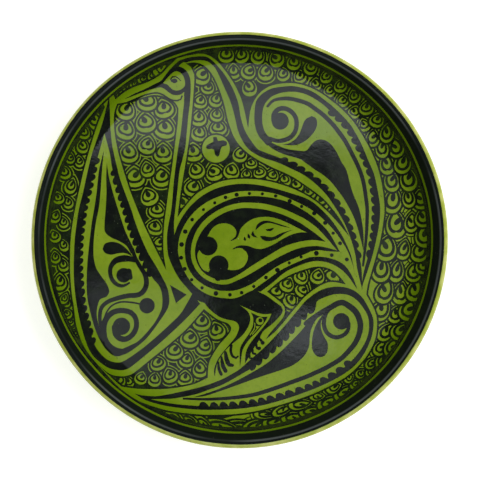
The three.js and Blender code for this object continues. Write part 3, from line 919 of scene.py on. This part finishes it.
def make_wing():
    lay_paint("paint_wing_outer_band", [(INK, outline(
        [(-42, 2.5), (-39.6, 9), (-35.6, 16), (-30, 22.8), (-22, 29.2), (-12, 33.8), (0, 36), (12, 35.6),
         (24, 33.2), (35, 30), (44.3, 26.9), (50, 23.8), (55.6, 19), (61.4, 12.9), (65.9, 6.7), (69.4, 1.2),
         (72.3, -4.8), (74.8, -11), (76.3, -17.5)],
        [(77.4, -24), (76.2, -18), (73, -9), (69, -2), (64, 5), (57, 12.4), (50, 18.2), (42, 22.8),
         (33, 26.9), (24, 29.8), (15, 31.2), (6, 31.4), (-2, 30.7), (-11, 28.3), (-20, 24.3), (-27.5, 18.8),
         (-33.5, 11.8), (-37.5, 4.3), (-39.3, -2)],
        [(-39.8, -8)],
    ))], BLACK, ["wing_outer_band"])
    lay_paint("paint_wing_lower_band", [(INK, outline(
        [(10, -34.6), (20, -27.4), (30, -20.5), (45, -13.6), (50.8, -12.4), (56.5, -12.4), (62.3, -13.6),
         (66.9, -15.3), (71, -18.2), (74.4, -22.8), (77.2, -28.5)],
        [(78.8, -33.5), (75.8, -29), (72.6, -24.6), (68.2, -20.4), (62.3, -17), (56.5, -15.4), (50.8, -15.2),
         (45, -16.6), (35.6, -20.4), (29.6, -24), (23.6, -29.2)],
        [(15.2, -35.6)],
    ))], BLACK, ["wing_lower_band"])
    inner_band = outline(
        [(67.6, -8.9), (61, 3), (55, 9.8), (48, 15.7), (40, 20.7), (32, 24.5), (23, 26.8), (15, 27.8),
         (7, 28), (0, 27.3), (-8, 24.7), (-16, 20.7), (-22.5, 16), (-28, 10.5), (-32, 4.5), (-34.5, -2),
         (-35.2, -9), (-33.8, -17.5), (-30, -24.5), (-25.6, -28.9), (-20, -32.3), (-14, -34.4), (-8, -35.1),
         (0, -34.3), (10, -30), (20, -22.9), (30, -16.7), (45, -10.4), (48.5, -8.8), (53.7, -7.9),
         (60, -8.6)],
    )
    ring_gap = outline(
        [(66, -8.2), (58.5, 0.8), (52, 7.5), (45, 12.6), (40, 15.2), (30, 19.6), (19, 22.7), (8, 23.7),
         (0, 23.2), (-9, 20.6), (-17.5, 15.8), (-24.5, 9.3), (-29.2, 1), (-31.2, -9), (-29.6, -17.6),
         (-24.4, -25), (-16.5, -29.6), (-8, -30.8), (0, -28), (10, -22.8), (20, -16.7), (30, -11.2),
         (40, -6.9), (50, -5.2), (58, -6)],
    )
    beads = uneven_dots(
        1.3, 0.3, (-22.8, 19), (-15.3, 23.5), (-8.1, 27.1), (-0.7, 28.9), (7.8, 29.7), (16.4, 29.5),
        (25.2, 28.1), (34.5, 24.6), (42.4, 21.1), (50.8, 16.6), (58, 10.2), (63.3, 3.4), (67.8, -3.3),
        (72.2, -14), (62.3, -11.2), (52.2, -10), (42.1, -12.4), (34.3, -16.4), (26.4, -21.2), (18.8, -26.2),
        (10.7, -32.1), (2.6, -36.2), (-5.2, -37.6), (-14.5, -36.7), (-23.7, -33), (-30.6, -27.6),
        (-35.3, -20.4), (-37.6, -13), (-37.3, -4.2), (-34.9, 4.4), (-30.3, 12.3),
    )
    lay_paint("paint_wing_inner_band", [(INK, inner_band), (BARE, ring_gap), (INK, beads)],
              BLACK, ["wing_inner_band"])
    panel = outline(
        [(58.2, -2.3), (52, 2.8), (45, 7.8), (40, 11), (30, 15.6), (19, 18.8), (8, 20), (0, 19.6), (-8, 17.2),
         (-16, 12.6), (-22.6, 6.2), (-26.8, -1.2), (-28.4, -9), (-26.9, -16.6), (-22.4, -23), (-15.6, -26.8),
         (-8, -27.8), (0, -24.6), (10, -18), (20, -11.9), (30, -6), (40, -2.6), (50, -1.2)],
    )
    lobes = outline(
        [(-20.4, 0.6), (-18.6, 4), (-16.4, 7), (-13.4, 9.1), (-10, 9.9), (-6.5, 9.6), (-3.4, 8.2),
         (-1.3, 5.8), (-0.3, 2), (1.4, -2), (2.9, -6.6), (5.6, -9), (6.9, -12.2), (6.1, -15.8), (3.5, -19.3),
         (-0.6, -21.1), (-5.2, -21.2)],
        [(-9, -20), (-14, -16)],
        [(-19.5, -22.5), (-23, -21), (-26, -16), (-26.8, -10.5), (-24, -6)],
    )
    seeds = (
        disc(-19.7, -5.2, 6.3) + disc(-12.6, -18, 6.5) + stroke(5, (-13, -20), (-13, -26))
        + stroke((2.2, 1.8, 1.4, 0.4), (0.2, 7), (0.1, 3.4), (-1.3, 0.2), (-4.6, -1.7))
        + stroke((2.4, 1.8, 1.2, 0.4), (5, -6.6), (2.4, -5.7), (-0.6, -6.1), (-3.2, -7.4))
    )
    leaf = outline(
        [(-2, -1), (0.8, 2.6), (1.6, 5.4), (3.5, 8.1), (6.9, 11), (11.5, 13.3), (17.3, 14.2), (23.1, 13.8),
         (28.8, 12.1), (34.6, 9.5), (40.4, 6.6)],
        [(46, 3.8), (41.5, 3.8), (37.5, 2.9), (33.5, 1.4), (28.8, -1.2), (24.2, -4), (19.6, -6.1),
         (15.6, -7.2), (11.5, -6.8), (6.9, -5.2), (2.4, -4.8)],
        [(-2, -5.4)],
    )
    veins = (
        outline([(12, 5.4), (12.6, 8.4), (15.6, 11), (19.5, 11.6), (24, 10.6), (29, 9)],
                [(35.2, 6.8), (29, 8), (24, 9.6), (19.5, 10.1), (15.6, 8.5)])
        + outline([(15, 1.4), (18, 1.4), (21, 0.7), (24.5, 1.1), (29, 3.4)],
                  [(36.6, 5.6), (31.5, 3.2), (27, 0), (22, -1.8), (18.5, -1.8), (16.2, -0.6)])
        + outline([(18.6, 5.9), (21, 6.3)], [(24.2, 6.9), (23, 5.2), (21, 4.6), (19.2, 5)])
        + outline([(10.3, 5), (11.2, 2.2)], [(13.3, 0.4), (10.4, 0.9), (9, 2.6)])
        + outline([(6.9, 3.1), (8.4, 1.2)], [(8, -0.5), (6.5, 0.6)])
        + outline([(4.5, 1), (5.7, -0.6)], [(5, -2), (3.9, -0.8)])
    )
    lay_paint("paint_wing_panel", [(INK, panel), (BARE, lobes + leaf), (INK, seeds + veins)],
              BLACK, ["wing_panel"])


def make_stem():
    band = outline(
        [(-37.6, 116.9), (-34.6, 118), (-30, 119), (-23, 119.5), (-19.3, 118.5), (-15.9, 116), (-12.5, 112.3),
         (-9.6, 109), (-4, 100), (0, 90), (1.9, 80), (5.4, 70), (12.4, 60), (17, 57.4), (25, 54.4),
         (33, 51.2), (42, 46), (52.5, 38.8), (61.5, 29.8), (67.6, 21.3), (73.4, 10), (77, 0), (79.8, -10),
         (81.7, -20)],
        [(82.2, -34), (79, -20), (77.6, -10), (74.7, 0), (70.7, 10), (64.9, 20), (57.4, 30.4), (46, 40.6),
         (33, 47.4), (25, 50.8), (15, 54.2), (6.4, 60), (0.6, 70), (-1.9, 80), (-4.8, 90), (-9.2, 100),
         (-13.8, 110), (-16.3, 113.6), (-20, 116.4), (-24.8, 117.2), (-30, 116.8), (-35, 115.6)],
    )
    bumps = lumps([(29, 53), (37, 49.2), (47.5, 42.6), (57.5, 34.2), (64.8, 25.4), (70.6, 15.8), (75.4, 5),
                   (78.4, -5), (80.4, -13)], 6.3, 1.8)
    lay_paint("paint_stem", [(INK, band + bumps)], BLACK, ["stem"])
    cross = outline([(-16.4, 66.9), (-14.1, 67.2), (-13.2, 64.6), (-10, 65), (-7.4, 64), (-7.6, 61.6),
                     (-10.4, 60.9), (-11.4, 58.9), (-12.4, 54.9), (-13.6, 54.1), (-15, 55.4), (-15.9, 58.9),
                     (-17.4, 59.4), (-20.4, 59.2), (-20.8, 61.4), (-17.9, 63.2), (-16.2, 64)])
    lay_paint("paint_roundel_cross", [(INK, cross)], BLACK, ["roundel_cross"])


def make_left_plume():
    inner_right = [(-82.8, 45), (-78.5, 30), (-75.3, 20), (-72.4, 10), (-69, 0), (-65, -10), (-60.3, -20),
                   (-56, -27)]
    inner_left = [(-92.2, 55), (-95, 45), (-98.5, 30), (-101, 20), (-102.4, 10), (-103.6, 0), (-104, -10),
                  (-104, -20), (-103.3, -30), (-102, -42), (-100.3, -50), (-97.6, -60), (-94.8, -69)]
    band = outline(
        [(-84.4, 93), (-87, 84), (-89.3, 76), (-93.5, 64), (-96.5, 55), (-99, 45), (-102.3, 30), (-104.8, 20),
         (-106.4, 10), (-107.6, 0), (-108.1, -10), (-108.3, -20), (-107.9, -30), (-106.8, -40), (-105, -50),
         (-102.5, -60), (-99, -70), (-95.6, -76), (-91, -80.6), (-85, -84.8), (-78, -86.5), (-73, -85.8),
         (-68, -82.5), (-58, -74.5), (-48, -66), (-35, -54)],
        [(-25, -43.5)],
        [(-30.3, -37), (-33, -42), (-38, -50), (-45, -57), (-55, -66), (-65, -74), (-75, -80.5), (-80, -81.5),
         (-86, -79.6), (-91, -75)] + inner_left[::-1],
        [(-88, 69.5), (-84.6, 56)] + inner_right + [(-52.5, -31), (-50.5, -36), (-50, -42), (-51, -48),
                                                    (-56, -57), (-65, -67), (-71.4, -70.6)],
        [(-76.3, -72.7)],
        [(-77, -77), (-72.8, -75.4), (-67, -71.6), (-60, -65.5), (-52, -55), (-46, -45), (-46, -36)],
        [(-48, -30), (-53.4, -20), (-59.4, -10), (-64, 0), (-67.8, 10), (-71, 20), (-74.7, 30), (-78.2, 40),
         (-80.6, 50), (-82.8, 60), (-84, 70), (-84.3, 78)],
    )
    spur = outline([(-45, -31)], [(-34, -37.5), (-38, -40.6)], [(-41, -43)])
    saw = lumps(inner_left[::-1], 5.1, -2.0)
    saw_right = lumps(inner_right, 5.4, -2.1)
    heart = outline(
        [(-88.5, 58), (-89.8, 45), (-90.9, 30), (-92, 20), (-94, 10), (-95.2, 0), (-95.5, -10), (-94.9, -15),
         (-93.5, -20), (-90.3, -25), (-86.8, -30), (-85.1, -35), (-87, -38.4), (-91.2, -40.4), (-93, -46),
         (-93.2, -51), (-92.2, -56)],
        [(-90.6, -60)],
        [(-88, -59), (-86.9, -62.5), (-85.9, -65.8), (-83.8, -69.2), (-80.4, -71.7)],
        [(-76.3, -72.7)],
        [(-73, -75.6), (-79, -77.5), (-82.4, -76.8), (-86.6, -73.4), (-90, -68.6), (-92.8, -63),
         (-94.9, -57.5), (-97, -50), (-98.2, -45), (-99.2, -40), (-99.8, -33), (-99.8, -25), (-99.5, -18),
         (-98.9, -10), (-97.8, 0), (-96.6, 10), (-94.9, 20), (-93.4, 30), (-91.7, 45)],
    )
    blade = outline(
        [(-86.6, 50), (-86, 45), (-85.2, 40), (-82.6, 30), (-79.6, 20), (-76.4, 10), (-74.7, 5), (-72.4, 0),
         (-70, -5)],
        [(-68, -10), (-70.7, -10), (-73.8, -5), (-79, -1.6), (-83.5, 0.4), (-87.7, 4), (-88.2, 10),
         (-87.4, 20), (-86.9, 30), (-87, 40)],
    )
    s_line = stroke((2.2, 2.6, 3.2, 3.4, 3.2, 2.8, 2.4, 2.2), (-70, -7), (-68, -13), (-65, -18.5),
                    (-61.6, -24), (-60.6, -29), (-61.4, -33), (-64, -36.4), (-67.6, -37.7), (-73, -38),
                    (-80.4, -39.7), (-86, -41.8), (-90, -45.4), (-91.2, -50.8), (-90.8, -56), (-89.4, -60))
    comma = outline(
        [(-89.5, -7), (-88, -3.5), (-84, -2.3), (-80, -2.8), (-76, -5), (-72, -9)],
        [(-69.5, -12.5), (-73, -10.3), (-76, -9.6), (-80, -10), (-84, -10.8), (-88, -9.5)],
    )
    volutes = (
        stroke((3.0, 4.4, 4.2, 3.0, 2.6, 2.6, 2.4, 1.2), (-68.5, -14.5), (-72, -13.5), (-76.5, -13.4),
               (-81, -14.8), (-84, -18.5), (-84.5, -23), (-83, -27.5), (-79.5, -30.8), (-75.5, -31.3),
               (-72, -29.5))
        + disc(-75.6, -24.4, 4.8) + stroke((4, 3), (-72.4, -22), (-71.2, -26))
        + stroke((4.2, 3.8, 3.4, 3.2, 3.4, 3.6, 3.8, 4.4), (-81.2, -58.5), (-80.6, -63), (-77.6, -66),
                 (-73.6, -66.2), (-69.6, -63.4), (-67.2, -58.4), (-67.8, -52.6), (-71.4, -48.8),
                 (-77.4, -47.6), (-83, -49), (-87, -53), (-88.8, -58.6), (-88.6, -64))
        + disc(-77, -58, 5.7)
    )
    berry = disc(-60.2, -44.6, 5.1) + stroke(1.1, (-65.2, -43.4), (-70.1, -42.4), (-77, -42), (-82.5, -43.8),
                                             (-85.9, -47.2), (-88, -52), (-89.2, -57))
    ink = band + spur + saw + saw_right + heart + blade + s_line + comma + volutes + berry
    lay_paint("paint_left_plume", [(INK, ink)], BLACK, ["left_plume"])


def make_upper_plume():
    inner_edge = [(85.8, -13), (87.4, -6.9), (88.6, 0), (89.5, 7), (90, 14.4), (90, 22), (89.2, 29.4),
                  (88, 36.9), (86.6, 43.3), (83.9, 50.2), (81, 56.5), (77.5, 62.9), (73.5, 70.4),
                  (68.4, 76.6), (62.9, 81.4), (56.6, 86.9)]
    band = outline(
        [(19.5, 61.4), (14.2, 67.4), (11.8, 73), (10.9, 80), (11.8, 90), (15, 94.6), (18.5, 97.2),
         (23.1, 99.2), (30, 100.2), (36.9, 100.4), (45, 98.5), (50.8, 95.8), (56.5, 91.7), (62.3, 87.1),
         (68.1, 81.6), (73.8, 75.3), (77.3, 69.8), (80.2, 64.6), (83.1, 58.3), (86, 51.3), (88.8, 45),
         (90.6, 39.2), (92.9, 27.7), (93.8, 20.2), (93.6, 12.7), (92.7, 5.8), (91.4, -0.6), (90, -6.9),
         (88.3, -13.3), (86.5, -19), (84.8, -24.2), (82.8, -29.4)],
        [(81.9, -34), (82.4, -27), (83.8, -20)] + inner_edge + [(50.8, 91.2), (45, 94.2), (36.5, 96.4),
                                                                (30, 96.2), (24, 94.4), (19.6, 91.4),
                                                                (16.8, 86.6), (16, 80), (16.6, 74.2),
                                                                (18.8, 69.2)],
        [(23.6, 64.6)],
    )
    bumps = lumps(inner_edge, 5.9, 1.8)
    crescent = outline(
        [(19.5, 88.5), (21.3, 93), (27.1, 95.8), (32.9, 96.8), (39, 96.6), (45, 95), (50.8, 92), (56.5, 88)],
        [(61.7, 83.1), (56.5, 86.2), (50.8, 89.6), (45, 91.6), (40, 92.9), (35.8, 93.7), (30, 93.8),
         (24.6, 92.2)],
    )
    rib = stroke((1.6, 2.6, 2.8, 2.8, 2.8, 2.7, 2.6, 2.4, 2.2, 1.8, 1.4), (19.6, 87.4), (23.5, 91.2),
                 (30, 92.4), (36, 92), (45, 89.4), (50.8, 85.7), (56.5, 81.3), (62.3, 75.6), (66.9, 69.8),
                 (71, 64), (75, 56.5), (79, 48.5), (81.3, 42.7), (83.1, 36.3), (84.5, 27.7), (85.4, 20.2),
                 (85.4, 12.7), (85.1, 4.6), (84.5, -2.9), (83.7, -10.4), (82.8, -18))
    heart = outline(
        [(13, 69.6), (15.6, 71.5), (20.2, 65.2), (25.4, 61.9), (32.9, 59.2), (38.7, 58.3), (45, 58),
         (48.5, 62), (51.9, 64.9), (55.4, 65.4), (59.4, 64), (62.9, 60.6), (65.8, 56), (68.7, 50.2),
         (71.8, 45), (74.4, 35.2), (76.7, 28.3), (79.6, 21.3), (81.3, 15), (82.5, 8.1), (83.1, 1.2)],
        [(83.1, -8), (81.3, -0.6), (79.6, 5.8), (77.3, 12.7), (74.4, 19), (70.4, 26), (66.3, 31.7),
         (61.7, 37.5), (56.5, 42.1), (51.3, 45.4), (45, 50), (41.5, 52.4), (35.8, 54.2), (30, 56),
         (23.1, 59.4), (17.3, 64.4)],
    )
    volute = disc(28, 77.6, 5.6) + stroke(
        (3.4, 3.2, 3, 2.9, 2.9, 2.9, 3, 2.8, 2.4), (23.8, 78), (23.8, 81.6), (25.4, 84.4), (28.6, 86),
        (32, 85.6), (35.2, 83.8), (37.8, 80.6), (38.8, 76.6), (38.2, 71.6), (35.4, 67.4), (31.2, 65.2),
        (26, 64.6), (21, 66.2)
    )
    comma = outline(
        [(48.5, 80.8), (51.3, 79.6), (52.3, 76.2), (51.3, 72.1), (48.5, 68.1), (45, 64.9), (41.5, 62.9),
         (37.5, 61.7)],
        [(29.4, 62), (33.5, 62.9), (37.5, 65.2), (40.4, 68.7), (42.1, 72.7), (43.3, 76.2), (45, 79)],
    )
    layers = [(INK, band), (BARE, crescent), (INK, bumps + rib + heart + volute + comma)]
    lay_paint("paint_upper_plume", layers, BLACK, ["upper_plume"])


def make_lower_plume():
    band = outline(
        [(-63, -102.8), (-54, -103.6), (-45, -102.4), (-40, -101.4), (-30, -99.3), (-20, -96.6), (-10, -92.8),
         (-4, -89.6), (1, -86.6), (7, -81.4), (12.7, -76.6), (18.5, -71.4), (24.2, -65.6), (30, -59.3),
         (35.8, -52.4), (40.4, -47), (45, -41.6), (50.8, -36.9), (56.5, -33.8), (62.3, -32.3), (68.1, -32.1),
         (72.7, -32.9), (77.3, -34.8), (80.8, -37.7), (83.7, -41.2), (87.5, -48.5), (89.2, -53.7),
         (89, -59.4), (87.8, -65.2), (85.6, -70.6), (83, -75.6), (79.8, -80.2), (75.6, -84.6), (70.6, -88.4),
         (65.6, -91.5), (60.6, -94.2), (55.6, -96.5), (50.6, -98.7), (45.6, -100.6), (38, -103.4), (30, -106),
         (16, -109.8), (0, -112.1), (-20, -112.7), (-34, -111.8), (-48, -109.6), (-60, -106)],
        [(-68, -101.4)],
    )
    upper_edge = [(10, -85), (20, -76.6), (30, -67.6), (38, -58.6), (46, -50), (51.3, -46.2)]
    lower_edge = [(74.2, -81), (67.4, -86.9), (58.2, -92.8), (51.6, -96), (45, -98.8), (34, -102.4), (21.6, -106),
                  (9.9, -108.5), (-3, -110), (-17, -110.5)]
    hollow = outline(
        [(-58, -105.3), (-45, -105.4), (-38, -104.6), (-27.7, -102.6), (-20, -100), (-10, -96.4), (0, -91)]
        + upper_edge
        + [(52.5, -41.8), (57.7, -39), (63.5, -37.2), (69.8, -36.9), (75, -38.3), (79.6, -41.8), (84.4, -48.5),
           (86.2, -53.7), (86.3, -60), (84.9, -65.6), (82.4, -70.8), (78.6, -76.2)]
        + lower_edge
        + [(-30, -109.9), (-44, -108.4)],
    )
    saw = lumps(upper_edge[::-1] + [(4, -88.8)], 6.0, 1.9)
    saw_low = lumps(lower_edge + [(-28, -110)], 6.2, -2.7)
    rib = stroke((1.2, 1.8, 2.4, 2.6, 2.7, 2.8, 3, 3.4, 4, 3.6, 3.0), (-36, -105.4), (-21.9, -105.9),
                 (-10.4, -105.5), (0, -104.6), (9.8, -103.1), (18.5, -100.7), (27.1, -97.8), (35.8, -94.6),
                 (45, -91.2), (50.8, -88.6), (56.5, -86), (62.3, -82.8), (68.1, -79), (73.3, -73.8),
                 (77.3, -68.7), (79.9, -62.9), (80.8, -57.1), (79.6, -51.9), (77.3, -47.9), (73.8, -45),
                 (69.8, -42.6), (66.3, -43), (60.6, -46.2), (53.7, -50.2), (47.9, -54.2), (45, -56.5))
    leaf = outline(
        [(48.6, -53.4), (40, -63.4), (30, -73.4), (23, -79.6), (18, -83.4), (10, -88.2), (0, -93.6),
         (-10, -98.2), (-20, -101.8)],
        [(-29, -104.4), (-21.9, -103.8), (-10.4, -100.2), (1.2, -96.2), (12.7, -92.1), (24.2, -88.4),
         (30, -86.4), (35.4, -84.2), (40, -81.2), (43.8, -77.6), (46.3, -73.4), (47.3, -69.6), (47.5, -65.8),
         (48.3, -61), (50.6, -55.8)],
        [(53.6, -51.6)],
    )
    drop = outline(
        [(56.3, -50.6), (52.8, -55.4), (50.4, -60.6), (49.2, -66.3), (48.9, -71), (49.8, -75), (52.5, -77.9),
         (55.7, -78.2), (58.6, -75.6), (59.4, -71.5), (58.8, -68.1), (56.5, -64), (55.1, -60), (54.8, -56.5),
         (55.7, -53.1)],
    )
    volute = disc(68.4, -54.8, 5.4) + stroke(
        (2.6, 2.8, 2.8, 2.8, 2.7, 2.6, 2.2), (60.8, -46.6), (58.4, -49.4), (57.1, -53.7), (57.1, -58.3),
        (59, -62.5), (62.8, -65), (66.3, -65.2), (70.5, -63.3), (72.9, -59.8), (73.2, -56)
    )
    layers = [(INK, band), (BARE, hollow), (INK, saw + saw_low + rib + leaf + drop + volute)]
    lay_paint("paint_lower_plume", layers, BLACK, ["lower_plume"])


make_clay()
make_front_glaze()
make_back_glaze()
make_base_glaze()
make_foot()
ring("paint_border_line", "border_line", *BORDER_LINE, 0.15, 2.0, BLACK, 4)
ring("paint_rim_band", "rim_band", *RIM_BAND, 0.2, 6.0, BAND_BLACK, 16)
make_scales()
make_bird()
make_wing()
make_stem()
make_left_plume()
make_upper_plume()
make_lower_plume()


# ---- Floor, lights and camera --------------------------------------------------------------------

def make_floor():
    mesh = bpy.data.meshes.new("floor")
    reach = 6.0      # metres, so that no edge of the paper is seen
    corners = [(-reach, -reach, 0), (reach, -reach, 0), (reach, reach, 0), (-reach, reach, 0)]
    mesh.from_pydata(corners, [], [(0, 1, 2, 3)])
    floor = bpy.data.objects.new("floor", mesh)
    bpy.context.scene.collection.objects.link(floor)
    n = Nodes("floor_paper")
    colour = n.mix(n.ramp(n.noise(60, 3), 0.3, 0.7), (0.86, 0.86, 0.86, 1), (0.9, 0.9, 0.9, 1))
    n.finish(colour, 0.9, n.bump(n.noise(0.6, 3), 0.02))
    n.shader.inputs["Emission Color"].default_value = (1, 1, 1, 1)
    n.shader.inputs["Emission Strength"].default_value = SURROUND
    mesh.materials.append(n.material)


LAMP_HEIGHT = 1.5
MIRROR = 3.94                    # a lamp is this many times larger than its reflection in the dish
SKY_TINT = (0.88, 0.94, 1.0)
CAMERA_HEIGHT = 1.245
CAMERA_ASIDE = (-0.032, 0.030)   # the camera stands a little to the upper left of the axis
PICTURE_MIDDLE = (0.00042, -0.00016)    # of the border rings' plane
RING_HEIGHT = 0.038              # height of the border rings
SURROUND = 0.55                  # strength of the white world, and of the paper's own glow


def area_light(name, place, aim, size, power, mirrored):
    """A soft lamp. A mirrored one shows only as a reflection, and the others only as light."""
    light = bpy.data.lights.new(name, "AREA")
    light.shape = "RECTANGLE"
    light.size, light.size_y = size
    light.energy = power
    light.color = SKY_TINT if mirrored else (1, 1, 1)
    lamp = bpy.data.objects.new(name, light)
    bpy.context.scene.collection.objects.link(lamp)
    lamp.location = place
    lamp.rotation_euler = (Vector(aim) - Vector(place)).to_track_quat("-Z", "Y").to_euler()
    lamp.visible_camera = False
    lamp.visible_glossy = mirrored
    lamp.visible_diffuse = not mirrored


def make_lights():
    """A soft key, and lamps that only show in the glaze. Each has the box of the plate that mirrors it."""
    world = bpy.data.worlds.new("studio")
    bpy.context.scene.world = world
    world.use_nodes = True
    background = world.node_tree.nodes["Background"]
    background.inputs["Color"].default_value = (1, 1, 1, 1)
    background.inputs["Strength"].default_value = SURROUND
    world.cycles_visibility.glossy = False
    area_light("key", (0.75, 0.25, 1.4), (0, 0, 0), (1.0, 1.0), 19, False)
    for name, plate_box, glow in (
        ("window_high", (-115, 90, 64, 96.5), 5.6),
        ("window_top", (-115, 90, 96.5, 450), 3.7),
        ("window_left", (-110, -20, -100, -30), 2.2),
        ("window_right", (28, 64, -81, -49), 5.4),
        ("ceiling_right", (62, 115, -110, 60), 1.5),
        ("ceiling_low", (-20, 62, -115, -85), 1.8),
    ):
        x0, x1, y0, y1 = (-MIRROR * number * MM for number in plate_box)
        x = (x0 + x1) / 2 - CAMERA_ASIDE[0] * LAMP_HEIGHT / CAMERA_HEIGHT
        y = (y0 + y1) / 2 - CAMERA_ASIDE[1] * LAMP_HEIGHT / CAMERA_HEIGHT
        size = (abs(x1 - x0), abs(y1 - y0))
        area_light(name, (x, y, LAMP_HEIGHT), (x, y, 0), size, glow * size[0] * size[1], True)


def make_camera():
    """Looks straight down from a little to the upper left. The border rings are in the picture's middle."""
    data = bpy.data.cameras.new("camera")
    data.lens = 139
    data.sensor_width = 36
    data.clip_end = 50
    camera = bpy.data.objects.new("camera", data)
    bpy.context.scene.collection.objects.link(camera)
    x, y = (middle + aside for middle, aside in zip(PICTURE_MIDDLE, CAMERA_ASIDE))
    camera.location = (x, y, CAMERA_HEIGHT)
    frame_width = (CAMERA_HEIGHT - RING_HEIGHT) * data.sensor_width / data.lens
    data.shift_x, data.shift_y = (-aside / frame_width for aside in CAMERA_ASIDE)
    bpy.context.scene.camera = camera


make_floor()
make_lights()
make_camera()
bpy.context.scene.view_settings.view_transform = "Standard"
